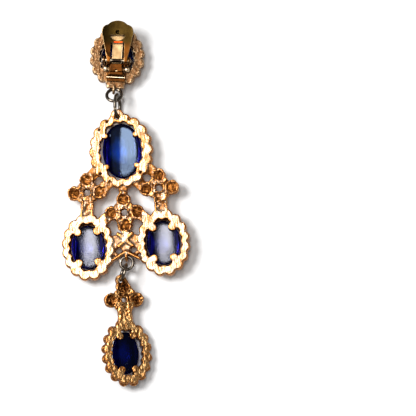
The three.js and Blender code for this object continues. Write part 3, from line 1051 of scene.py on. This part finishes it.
@dataclass
class Foil:
    """Hollow-backed lobes round a square hole."""

    at: Point
    ways: tuple[Way, ...]
    offset: float = 3.45
    lobe: float = 2.0
    hole: float = 1.75
    rim: float = 0.42
    hollow: float = 0.8
    bulge: float = 1.0
    thickness: float = 1.6
    collar: float = 0.45
    collar_depth: float = 1.3
    bar_inset: float = 0.2
    corner: Point = (1.5, 2.1)
    reach: float = 6.3
    fade: float = 1.5

    def centres(self) -> list[Point]:
        """Middles of the lobes."""
        return [(self.at[0] + w.value[0] * self.offset, self.at[1] + w.value[1] * self.offset) for w in self.ways]

    def block(self, half: float, bottom: float, top: float, edge: float) -> Piece:
        """Square block about the foil's middle, from its half width, its two heights and its bevel."""
        x, y = self.at
        return slab((x - half, y - half, bottom), (x + half, y + half, top), edge)

    def metal(self) -> list[Piece]:
        """Models the lobes, their bulging fronts, the square body and the bars round its hole.

        Returns:
            Their blanks.
        """
        (x, y), t, (near, far) = self.at, -self.thickness, self.corner
        edge = self.hole / 2 + self.bar_inset
        puck = oval((self.lobe, self.lobe), (0, 0), t, -0.12, 0.22, 32)
        ball = globe((self.lobe - 0.12, self.lobe - 0.12, self.bulge), (0, 0, t), 12)
        parts = copies(puck, self.centres()) + copies(ball, self.centres())
        parts.append(self.block(self.offset - self.lobe + 0.25, t, -0.4, 0.2))
        parts.append(self.block(self.hole / 2 + self.collar, t - self.collar_depth, -1.0, 0.15))
        for sx, sy in CORNERS:
            parts += [
                bar((x + sx * edge, y + sy * edge), (x - sy * edge, y + sx * edge), 0.5, -0.9, 0.02, 0.18),
                bar((x + sx * near, y + sy * near), (x + sx * far, y + sy * far), 0.8, t, -0.1, 0.2),
            ]
        return parts

    def near(self, places: np.ndarray) -> np.ndarray:
        """How much of the foil's unevenness each place takes, from 0 to 1."""
        away = np.hypot(places[:, 0] - self.at[0], places[:, 1] - self.at[1])
        return np.clip((self.reach - away) / self.fade, 0, 1)

    def cutters(self) -> list[Piece]:
        """Models what the hollows and the square hole take away.

        Returns:
            Their blanks.
        """
        inner = self.lobe - self.rim
        cup = globe((inner, inner, self.hollow), (0, 0, 0.1), 12)
        return [*copies(cup, self.centres()), self.block(self.hole / 2, -4, 1, 0.15)]


@dataclass
class JumpRing:
    """Bent wire ring with its cut ends."""

    name: str
    node: str
    radius: float
    wire: float
    pose: Matrix
    seam: float
    slit: float = 2.4
    play: float = 0.01

    def build(self, finish: bpy.types.Material) -> Piece:
        """Models the ring and lays it in place.

        Args:
            finish: The ring's material.

        Returns:
            The ring.
        """
        piece = hoop(self.radius, self.wire - self.play, self.slit)
        edit(piece)
        bpy.ops.mesh.subdivide(number_cuts=1)
        mark_relief(smooth(piece, 40))
        spin = Matrix.Rotation(math.radians(self.seam), 4, "Z")
        return lay(piece, finish, self.name, self.pose @ spin, Body.EARRING, "gunmetal", self.node)


# ---------------------------------------------------------------- the castings


UPPER = OvalSetting((8.9, 10.4), (5.85, 7.98), 18, (3.6, 3.7), 1.5, snug=False, back_dome=0.5)
LOWER = OvalSetting((7.4, 9.35), (5.08, 6.5), 16, (2.1, 3.3), 2.1)
DROP_SETTING = OvalSetting(
    (7.1, 9.3), (4.3, 6.2), 16, (1.5, 3.7), 1.8, wall=3.08, lip=0.6, snug=False, front_dome=3.3, back_dome=0.42
)
CLIP_SETTING = OvalSetting((7.65, 8.5), (4.75, 5.6), 16, (2.2, 3.0), 1.7, front_dome=3.3, lip=0.1)


@dataclass
class PendantFrame:
    """The pendant's casting: three settings, three foils, stems, bridge, arch and eyelets."""

    upper: OvalSetting = UPPER
    lower_at: Point = (10.2, -25.72)
    side: Point = (9.76, -10.82)
    centre: Point = (0.0, -16.87)
    arch_y: float = -27.52
    eye: Spot = (0.0, -28.9, -1.0)
    eyelet: Point = (-0.6, 9.25)
    eyelet_hole: float = 0.675
    eye_radius: float = 1.055
    eye_wire: float = 0.76
    bridge_hole: Point = (1.98, 0.35)
    bridge_half: float = 3.4
    bridge_height: float = 4.6
    stem_reach: float = 8.35
    stem_width: float = 3.5
    strut_width: float = 3.0
    thickness: float = 1.6
    grain: float = 0.18
    pit: Spot = (0.42, 0.46, 0.8)
    pits: tuple[Point, ...] = (
        (2.65, 8.54), (-5.55, 5.96), (-3.37, 8.22), (-5.93, -6.05), (-3.44, -8.36), (5.04, -6.24), (-6.34, -19.58),
    )

    def lower(self, side: int) -> OvalSetting:
        """The lower setting on the right, side 1, or on the left, side -1."""
        return replace(LOWER, at=(side * self.lower_at[0], self.lower_at[1]))

    def foils(self) -> list[Foil]:
        """The two side foils and the centre foil."""
        (x, y), three = self.side, (Way.RIGHT, Way.UP, Way.LEFT)
        return [Foil((x, y), three), Foil((-x, y), three), Foil(self.centre, (*three, Way.DOWN))]

    def struts(self) -> list[Piece]:
        """Models the bars that tie the settings and the foils together.

        Returns:
            Their blanks.
        """
        parts, t, reach = [], -self.thickness, Foil.offset
        for side in SIDES:
            x, y = side * self.side[0], self.side[1]
            below = Vector(self.lower(side).at)
            foot = below.y + self.stem_reach
            inner_rim = below + self.lower(side).near_rim(side, 129)
            parts += [
                bar((x, y + reach), self.upper.near_rim(side, -32), self.strut_width, t, -0.3),
                bar((x - side * reach, y), self.upper.near_rim(side, -62), self.strut_width + 0.1, t, -0.3),
                bar((x, y - 1.9), (below.x, foot), self.stem_width, t, -0.25),
                bar((side * reach, self.centre[1]), inner_rim, self.strut_width, t, 0),
                bar((0, self.arch_y - 0.1), (side * 3.7, self.arch_y - 2.2), 0.85, -1.4, 0.4, 0.3),
            ]
            parts += [
                bar((x + edge * 1.3, y - 2.4), (below.x + edge * 1.5, foot), 0.6, -0.8, 0.12, 0.15)
                for edge in (-1, 1)
            ]
        return parts

    def bridge(self) -> list[Piece]:
        """Models the neck, the lower stem and the bridge with its crossed ridges.

        Returns:
            Their blanks.
        """
        t, top, y = -self.thickness, self.arch_y + self.bridge_height, self.centre[1]
        parts = [
            bar((0, 1 - self.upper.half[1]), (0, y + Foil.offset), 2.5, t, -0.3),
            bar((0, y - Foil.offset), (0, top - 1), 2.0, t, 0),
            slab((-self.bridge_half, self.arch_y - 0.95, t), (self.bridge_half, top, -0.28), 0.2),
        ]
        for side in SIDES:
            parts += [
                bar((side * 1.9, top + 0.3), (side * -1.9, top - 3.2), 1.0, -0.9, 0.12, 0.25),
                bar((side * 0.4, y - 4.8), (side * 2.0, y - 2.7), 0.6, -0.9, 0.16, 0.2),
                bar((side * 0.5, y + 5.6), (side * 0.9, y + 3.3), 0.55, -0.9, 0.16, 0.2),
            ]
        return parts

    def build(self, finish: bpy.types.Material) -> Piece:
        """Models the casting and lays it in place.

        Args:
            finish: The casting's material.

        Returns:
            The casting.
        """
        settings = [self.upper, self.lower(1), self.lower(-1)]
        foils = self.foils()
        x, y = self.eyelet
        holes = [(side * self.bridge_hole[0], self.arch_y + self.bridge_hole[1]) for side in SIDES]
        metal = [p for part in (*settings, *foils) for p in part.metal()]
        metal += self.struts() + self.bridge()
        metal.append(oval((1.85, 1.85), (x, y + 0.4), -self.thickness, 0, 0.2, 32))
        metal += [oval((1.45, 1.3), at, -3.0, -1.2, 0.2, 24) for at in holes]
        cutters = [p for part in (*settings, *foils) for p in part.cutters()]
        cutters += [oval((0.95, 0.8), at, -4, 1, 0, 24) for at in holes]
        cutters.append(oval((self.eyelet_hole,) * 2, self.eyelet, -5, 1, 0, 24))
        cutters += [globe(self.pit, (*at, 0.05), 8) for at in self.pits]
        piece = carve(fuse(metal, self.grain), cutters, self.grain)
        extra = [eye(self.eye_radius, self.eye_wire, self.eye)] + [p for setting in settings for p in setting.tabs()]
        piece = soften(fuse([piece, *extra], self.grain), self.grain, 3)
        places, normals = vertices_of(piece)
        below = np.clip((-places[:, 2] - 0.15) / 0.4, 0, 1) * facing_up(normals)
        roughen(piece, "CastHollow", 0.55, 0.6, below)
        roughen(piece, "CastFoil", 0.95, 0.75, np.max([f.near(places) for f in foils], 0))
        roughen(piece, "CastBack", 1.5, 0.16)
        mark_relief(piece, 5)
        places, _ = vertices_of(piece)
        rim = np.hypot(places[:, 0] / self.upper.half[0], places[:, 1] / self.upper.half[1])
        mark(piece, "streaked", np.clip((1.14 - rim) * 8, 0, 1))
        return lay(piece, finish, "pendant_casting", PENDANT, Body.EARRING, "gilt", "pendant_frame")


@dataclass
class DropFrame:
    """The drop's casting: eyelet, foil, stem and one setting."""

    setting: OvalSetting = DROP_SETTING
    foil: Point = (0.0, 14.3)
    foil_hole: float = 1.2
    eyelet: Point = (-0.5, 19.7)
    eyelet_hole: float = 0.675
    stem_width: float = 3.9
    stem_ridge: tuple[float, float, float] = (1.4, 1.2, 0.7)
    thickness: float = 1.6
    grain: float = 0.125

    def build(self, finish: bpy.types.Material) -> Piece:
        """Models the casting and lays it in place.

        Args:
            finish: The casting's material.

        Returns:
            The casting.
        """
        (x, y), t, top = self.foil, -self.thickness, self.setting.half[1]
        foot, head, ridge = self.stem_ridge
        foil = Foil(self.foil, (Way.RIGHT, Way.LEFT, Way.UP), hole=self.foil_hole)
        metal = self.setting.metal() + foil.metal()
        metal += [
            bar((0, top - 1.5), (0, y - 1.9), self.stem_width, t, -0.05),
            *(bar((e * foot, top - 0.5), (e * head, y - 1.6), ridge, -0.9, 0.16, 0.2) for e in (-1, 1)),
            bar((x, y + 4.31), self.eyelet, 3.0, t, 0),
            oval((1.4, 1.4), self.eyelet, t, 0, 0.25, 32),
            bar((self.eyelet[0] + 1, self.eyelet[1] - 0.6), (3.45, y + 1.03), 0.9, t, 0.1, 0.25),
            globe((1.25, 1.1, 0.6), (-0.9, y + 3.6, -0.2), 10),
        ]
        cutters = self.setting.cutters() + foil.cutters()
        cutters.append(oval((self.eyelet_hole,) * 2, self.eyelet, -4, 1, 0, 24))
        piece = carve(fuse(metal, self.grain), cutters, self.grain)
        piece = soften(fuse([piece, *self.setting.tabs()], self.grain), self.grain, 4)
        places, normals = vertices_of(piece)
        below = np.clip((-places[:, 2] - 0.1) / 0.4, 0, 1) * facing_up(normals)
        roughen(piece, "DropHollow", 0.55, 0.6, below)
        roughen(piece, "DropFoil", 1.1, 0.5, foil.near(places))
        roughen(piece, "DropBack", 0.8, 0.3, facing_up(normals))
        mark_relief(piece)
        return lay(piece, finish, "drop_casting", DROP, Body.EARRING, "dark_gilt", "drop_frame")


# ---------------------------------------------------------------- the clip


@dataclass
class ClipSetting:
    """The clip's casting with its eye, and the fittings that are soldered to its back."""

    setting: OvalSetting = CLIP_SETTING
    eye: Spot = (-0.4, -8.7, -1.2)
    neck: float = 4.8
    pivot_y: float = -1.35
    pin_z: float = 2.0
    pin_radius: float = 0.5
    waist: float = 2.85
    ear: float = 0.6
    ear_gap: float = 0.25
    base: float = 2.65
    nub: Spot = (0.85, 0.85, 0.85)
    nub_y: float = -3.5
    fold_y: float = -5.75
    fold_z: float = 1.05
    tongue_z: Point = (1.025, 1.325)
    tongue_half: Point = (1.375, 2.0)
    tongue_y: tuple[float, float, float] = (-2.9, 5.2, 7.7)
    panel_rim: float = 0.28
    panel_depth: float = 0.05
    eye_radius: float = 1.08
    eye_wire: float = 0.76
    bore_play: float = 0.15
    grain: float = 0.12
    fine_grain: float = 0.08

    def casting(self, finish: bpy.types.Material) -> Piece:
        """Models and lays the casting with the neck and the ring's eye.

        Args:
            finish: The casting's material.

        Returns:
            The casting.
        """
        metal = self.setting.metal()
        metal.append(slab((-self.neck / 2, -8.6, -1.55), (self.neck / 2, -6.4, -0.05), 0.15))
        piece = carve(fuse(metal, self.grain), self.setting.cutters(), self.grain)
        loop = eye(self.eye_radius, self.eye_wire, self.eye)
        piece = fuse([piece, loop, *self.setting.tabs()], self.grain)
        soften(piece, self.grain, 4)
        roughen(piece, "ClipBack", 0.8, 0.22, facing_up(vertices_of(piece)[1]))
        mark_relief(piece)
        return lay(piece, finish, "clip_casting", CLIP, Body.EARRING, "dark_gilt", "clip_setting")

    def bracket(self, finish: bpy.types.Material) -> Piece:
        """Models and lays the bracket: base, ears, nubs, fold and riveted block.

        Args:
            finish: The bracket's material.

        Returns:
            The bracket.
        """
        inner, y, base = self.waist + self.ear_gap, self.pivot_y, self.base
        outer, knob_x = inner + self.ear, base + 0.2
        metal = [
            slab((-outer, y - 1.6, -0.1), (outer, y + 1.3, 0.6)),
            slab((-base, -6.9, -0.15), (base, y, 0.55)),
            bar((0.2 - base, self.fold_y), (base - 0.2, self.fold_y), 0.42, 0, self.fold_z, 0.12),
            slab((-2.1, -5.3, 0), (2.1, -3.6, 1.6), 0.28),
            slab((-1.95, -4.4, 0), (1.95, -2.7, 1.75), 0.28),
            slab((-1.72, -3.4, 0), (1.72, -1.98, 1.8), 0.22),
        ]
        for side in SIDES:
            low, high = sorted((side * inner, side * outer))
            metal += [
                rod(1.1, low, high, y, self.pin_z, 0.12),
                slab((low, y - 1.1, -0.1), (high, y + 1.1, self.pin_z), 0.1),
                globe(self.nub, (side * knob_x, self.nub_y, 0.6), 14),
            ]
        cutters = [
            rod(self.pin_radius + self.bore_play, -outer - 1, outer + 1, y, self.pin_z),
            slab((-1.575, y - 3.1, 0.825), (1.575, 0, 1.525), 0.0),
            globe((0.36, 0.36, 0.13), (0, -4.02, 1.75), 12),
        ]
        piece = carve(fuse(metal, self.fine_grain), cutters, self.fine_grain)
        soften(piece, self.fine_grain, 3)
        mark_relief(piece)
        places, _ = vertices_of(piece)
        # The along number is small near the nubs and the fold, where the pale foot colour paints a highlight.
        knob = np.hypot(np.abs(places[:, 0]) - knob_x, places[:, 1] - self.nub_y)
        fold = np.hypot(places[:, 1] - self.fold_y, 2 * (places[:, 2] - self.fold_z)) + 0.55
        mark(piece, "along", np.minimum(knob, fold) / 2.2)
        return lay(piece, finish, "clip_bracket", CLIP, Body.EARRING, "dark_gilt", "clip_setting")

    def pin(self, finish: bpy.types.Material) -> Piece:
        """Models and lays the hinge pin with its upset ends.

        Args:
            finish: The pin's material.

        Returns:
            The pin.
        """
        reach = self.waist + self.ear_gap + self.ear + 0.3
        piece = rod(self.pin_radius, -reach, reach, self.pivot_y, self.pin_z, 0.2)
        edit(piece, lambda m: abs(m.x) < 0.1)
        bpy.ops.mesh.subdivide(number_cuts=7)
        mark_relief(smooth(piece, 40))
        # The along number is small in the pin's middle, which the foot colour paints as shade.
        mark(piece, "along", np.abs(vertices_of(piece)[0][:, 0]) / reach)
        return lay(piece, finish, "hinge_pin", CLIP, Body.EARRING, "gunmetal", "clip_pin")

    def tongue(self, finish: bpy.types.Material) -> Piece:
        """Models and lays the flat spring with its bare stamped panel and its wider head.

        Args:
            finish: The spring's material.

        Returns:
            The spring.
        """
        (bottom, top), (narrow, wide) = self.tongue_z, self.tongue_half
        low, neck, high = (self.pivot_y + y for y in self.tongue_y)
        piece = slab((-narrow, low, bottom), (narrow, high, top), 0.06)
        edit(piece)
        bpy.ops.mesh.select_mode(type="FACE")
        bpy.ops.mesh.select_all(action="DESELECT")
        mesh = bmesh.from_edit_mesh(piece.data)
        for face in mesh.faces:
            face.select_set(face.normal.z > 0.99)
        bmesh.update_edit_mesh(piece.data)
        bpy.ops.mesh.inset(thickness=self.panel_rim, depth=0)
        bpy.ops.mesh.inset(thickness=0.06, depth=-self.panel_depth)
        bpy.ops.object.mode_set(mode="OBJECT")
        combine(piece, slab((-wide, neck, bottom), (wide, high, top), 0.06), "UNION")
        mark_relief(smooth(piece, 30), 0)
        return lay(piece, finish, "spring_tongue", CLIP, Body.EARRING, "spring_brass", "clip_tongue")


@dataclass
class ClipLever:
    """Dished paddle of the ear clip, hinged on the pin; measured from the pin's axis."""

    length: float = 10.95
    half_width: float = 4.3
    foot: float = 2.64927
    heel: float = -0.5
    knuckle: Point = (1.9, 2.85)
    lift: float = 0.1
    thickness: float = 0.9
    dish: float = 0.4
    window: Point = (1.82, 4.8)
    crescent: Point = (1.95, 1.55)
    crescent_y: float = 6.95
    dimple_y: float = 7.75
    shoulder: float = 0.9
    shoulder_width: float = 0.45
    shoulder_round: float = 2.5
    cap: Point = (2.85, 1.95)
    cap_inset: float = 1.97
    bore: float = 0.65
    bowl: Spot = (1.38, 0.74, 1.2)
    bowl_y: float = 0.56
    grain: float = 0.085
    pose: Matrix = CLIP @ Matrix.Translation((0.12, -1.35, 2.0)) @ Matrix.Rotation(math.radians(2.2), 4, "Z")

    def plate(self, top: float) -> list[Piece]:
        """Models the flat paddle, widest at its shoulders, and its round head.

        Args:
            top: Height of its back.

        Returns:
            Their blanks.
        """
        shoulder, wide = self.shoulder * self.length, self.half_width + self.shoulder_width
        plate = slab((-wide, self.heel, self.lift), (wide, shoulder, top), 0.0)
        stretch(plate, (self.foot / wide, 1, 1), lambda m: m.y < 0, (0, self.heel, 0))
        bevel(plate, self.shoulder_round, 10, lambda m: m.y > shoulder - 0.01 and abs(m.x) > 1)
        return [plate, oval(self.cap, (0, self.length - self.cap_inset), self.lift, top, 0.0, 72)]

    def build(self, finish: bpy.types.Material) -> Piece:
        """Models the paddle and lays it in place.

        Args:
            finish: The paddle's material.

        Returns:
            The paddle.
        """
        top = self.lift + self.thickness
        metal = self.plate(top)
        for side in SIDES:
            low, high = sorted(side * x for x in self.knuckle)
            metal.append(rod(1.0, low, high, 0, 0, 0.08))
        metal.append(globe((0.9, 0.9, 0.55), (0, self.dimple_y, self.lift + 0.05), 10))
        moon = oval(self.crescent, (0, self.crescent_y), -1, 2, 0, 48)
        stretch(moon, (1, 0.02, 1), lambda m: m.y > self.crescent_y + 0.02, (0, self.crescent_y, 0))
        reach = self.knuckle[1] + 1
        cutters = [
            slab((-self.window[0], -1.5, -2), (self.window[0], self.window[1], 2), 0.05),
            moon,
            globe((0.5, 0.5, 0.5), (0, self.dimple_y, top - self.dish + 0.1), 10),
            rod(self.bore, -reach, reach, 0, 0),
        ]
        wide, long, deep = self.bowl
        bowl = (self.half_width * wide, self.length * long, deep)
        dish = globe(bowl, (0, self.length * self.bowl_y, top + deep - self.dish), 32)
        piece = carve(carve(fuse(metal, self.grain), [dish], 0.1), cutters, self.grain)
        piece = soften(piece, self.grain, 3)
        mark_relief(piece)
        places, _ = vertices_of(piece)
        # The along number is small near the hinge, where the foot colour paints a reflection.
        mark(piece, "along", places[:, 1] / self.length)
        # The strip at the top of the window, where the paddle bends, gets a painted reflection.
        strip = (np.abs(places[:, 0] - 0.2) < 1.1) & (np.abs(places[:, 1] - self.window[1] - 0.12) < 0.25)
        mark(piece, "fold_reflection", strip.astype(np.float32))
        return lay(piece, finish, "lever_paddle", self.pose, Body.LEVER, "bronze", "clip_lever")


# ---------------------------------------------------------------- studio


@dataclass
class Studio:
    """Pale floor, soft light from the upper left and the camera over the earring."""

    aim: Spot = (22.3, -1.65, 4.6)
    lean: Point = (5.0, 8.0)
    distance: float = 1000.0
    pixel: float = 0.2692
    pixels: int = 416
    sensor: float = 36.0
    paper: tuple[Colour, Colour] = ((0.93, 0.93, 0.93), (0.95, 0.95, 0.95))
    sky: Colour = (1.0, 0.98, 0.96)
    sky_strength: float = 0.17

    def floor(self) -> None:
        """Lays the floor."""
        clear()
        bpy.ops.mesh.primitive_plane_add(size=3.0, location=(0, 0, 0))
        floor = bpy.context.object
        floor.name = "studio_floor"
        board = NodeBoard("pale_paper")
        tone = board.blend(board.noise(0.01, 1.0), *self.paper)
        board.feed(board.shader, {"Base Color": tone, "Roughness": 0.9, "Specular IOR Level": 0.1})
        floor.data.materials.append(board.material)

    def light(self, name: str, at: Spot, size: Point, power: float, level: bool = False) -> None:
        """Hangs a soft light over the earring.

        Args:
            name: Its name.
            at: Its place in metres.
            size: Its two sides in metres.
            power: Its power in watts.
            level: Whether it hangs level instead of facing the earring.
        """
        lamp = bpy.data.lights.new(name, "AREA")
        lamp.shape, lamp.size, lamp.size_y, lamp.energy = "RECTANGLE", size[0], size[1], power
        held = bpy.data.objects.new(name, lamp)
        bpy.context.scene.collection.objects.link(held)
        held.location = at
        if not level:
            held.rotation_euler = (-Vector(at)).to_track_quat("-Z", "Y").to_euler()

    def camera(self) -> None:
        """Sets the camera at the photograph's angle."""
        lens = bpy.data.cameras.new("photo_camera")
        held = bpy.data.objects.new("photo_camera", lens)
        bpy.context.scene.collection.objects.link(held)
        lens.sensor_width = self.sensor
        lens.lens = self.sensor * self.distance / (self.pixels * self.pixel)
        lens.clip_start, lens.clip_end = 0.05, 10.0
        x, y = (math.tan(math.radians(a)) for a in self.lean)
        back = Vector((x, -y, 1.0)).normalized()
        across = Vector((0, 1, 0)).cross(back).normalized()
        axes = Matrix((across, back.cross(across), back)).transposed().to_4x4()
        held.matrix_world = Matrix.Translation((Vector(self.aim) + self.distance * back) * MM) @ axes
        bpy.context.scene.camera = held

    def build(self) -> None:
        """Sets the whole studio up."""
        self.floor()
        self.light("key_light", (-0.36, 0.13, 0.6), (0.28, 0.28), 5.2)
        self.light("top_light", (0.01, 0.12, 1.15), (0.26, 0.75), 4.2, True)
        world = bpy.data.worlds.new("studio")
        world.use_nodes = True
        sky = world.node_tree.nodes["Background"].inputs
        sky["Color"].default_value = (*self.sky, 1.0)
        sky["Strength"].default_value = self.sky_strength
        bpy.context.scene.world = world
        bpy.context.scene.view_settings.view_transform = "Standard"
        self.camera()


# ---------------------------------------------------------------- the earring


def lay_rings() -> None:
    """Bends the four jump rings and lays them."""
    finish = GUNMETAL.material()
    edgewise = Matrix.Rotation(math.radians(84), 4, "Y")
    for name, node, radius, wire, pose, seam in (
        ("ring_top", "top_ring", 2.05, 0.9, ring_pose((-3.2193, 29.5869, 4.424), (0.96757, -0.25259, 0, 0)), 50),
        ("link_top", "top_link", 3.08, 0.95, placed(-2.4293, 26.6599, 3.8) @ edgewise, 200),
        ("ring_drop", "drop_ring", 1.72, 0.85, placed(0.2564, -16.2328, 3.6), 160),
        (
            "link_drop", "drop_link", 2.2, 0.95,
            ring_pose((-0.6148, -18.8216, 4.0808), (0.4847, 0.65157, 0.4682, 0.34829)), 20,
        ),
    ):
        JumpRing(name, node, radius, wire, pose, seam).build(finish)


def lay_stones(clip: OvalSetting, pendant: PendantFrame, drop: OvalSetting) -> None:
    """Cuts the five stones and lays them in their settings.

    Args:
        clip: The clip's setting.
        pendant: The pendant with its three settings.
        drop: The drop's setting.
    """
    clear_glass, rubbed, shaded = (glass.material() for glass in (CLEAR_GLASS, RUBBED_GLASS, SHADED_GLASS))
    for name, node, setting, pose, lean, shift, glass in (
        ("clip_cabochon", "clip_stone", clip, CLIP, 0.0, 0.0, shaded),
        ("cabochon_upper", "pendant_stone_upper", pendant.upper, PENDANT, 0.5, 0.15, clear_glass),
        ("cabochon_left", "pendant_stone_left", pendant.lower(-1), PENDANT, 2.7, 0.0, rubbed),
        ("cabochon_right", "pendant_stone_right", pendant.lower(1), PENDANT, 1.4, 0.0, rubbed),
        ("drop_cabochon", "drop_stone", drop, DROP, 0.0, -0.4, shaded),
    ):
        lay(setting.stone(lean, shift), glass, name, pose, Body.EARRING, "blue_glass", node)


def main() -> None:
    """Builds the earring and the studio."""
    logging.basicConfig(level=logging.INFO, format="%(name)s %(message)s")
    clip, pendant, drop = ClipSetting(), PendantFrame(), DropFrame()
    clip.casting(SHADED_MATTE_GILT.material())
    clip.bracket(PLATE.material())
    clip.pin(PIN_STEEL.material())
    clip.tongue(BRASS.material())
    ClipLever().build(BRONZE.material())
    pendant.build(GILT.material())
    drop.build(DARK_GILT.material())
    lay_rings()
    lay_stones(clip.setting, pendant, drop.setting)
    Studio().build()


if __name__ == "__main__":
    main()
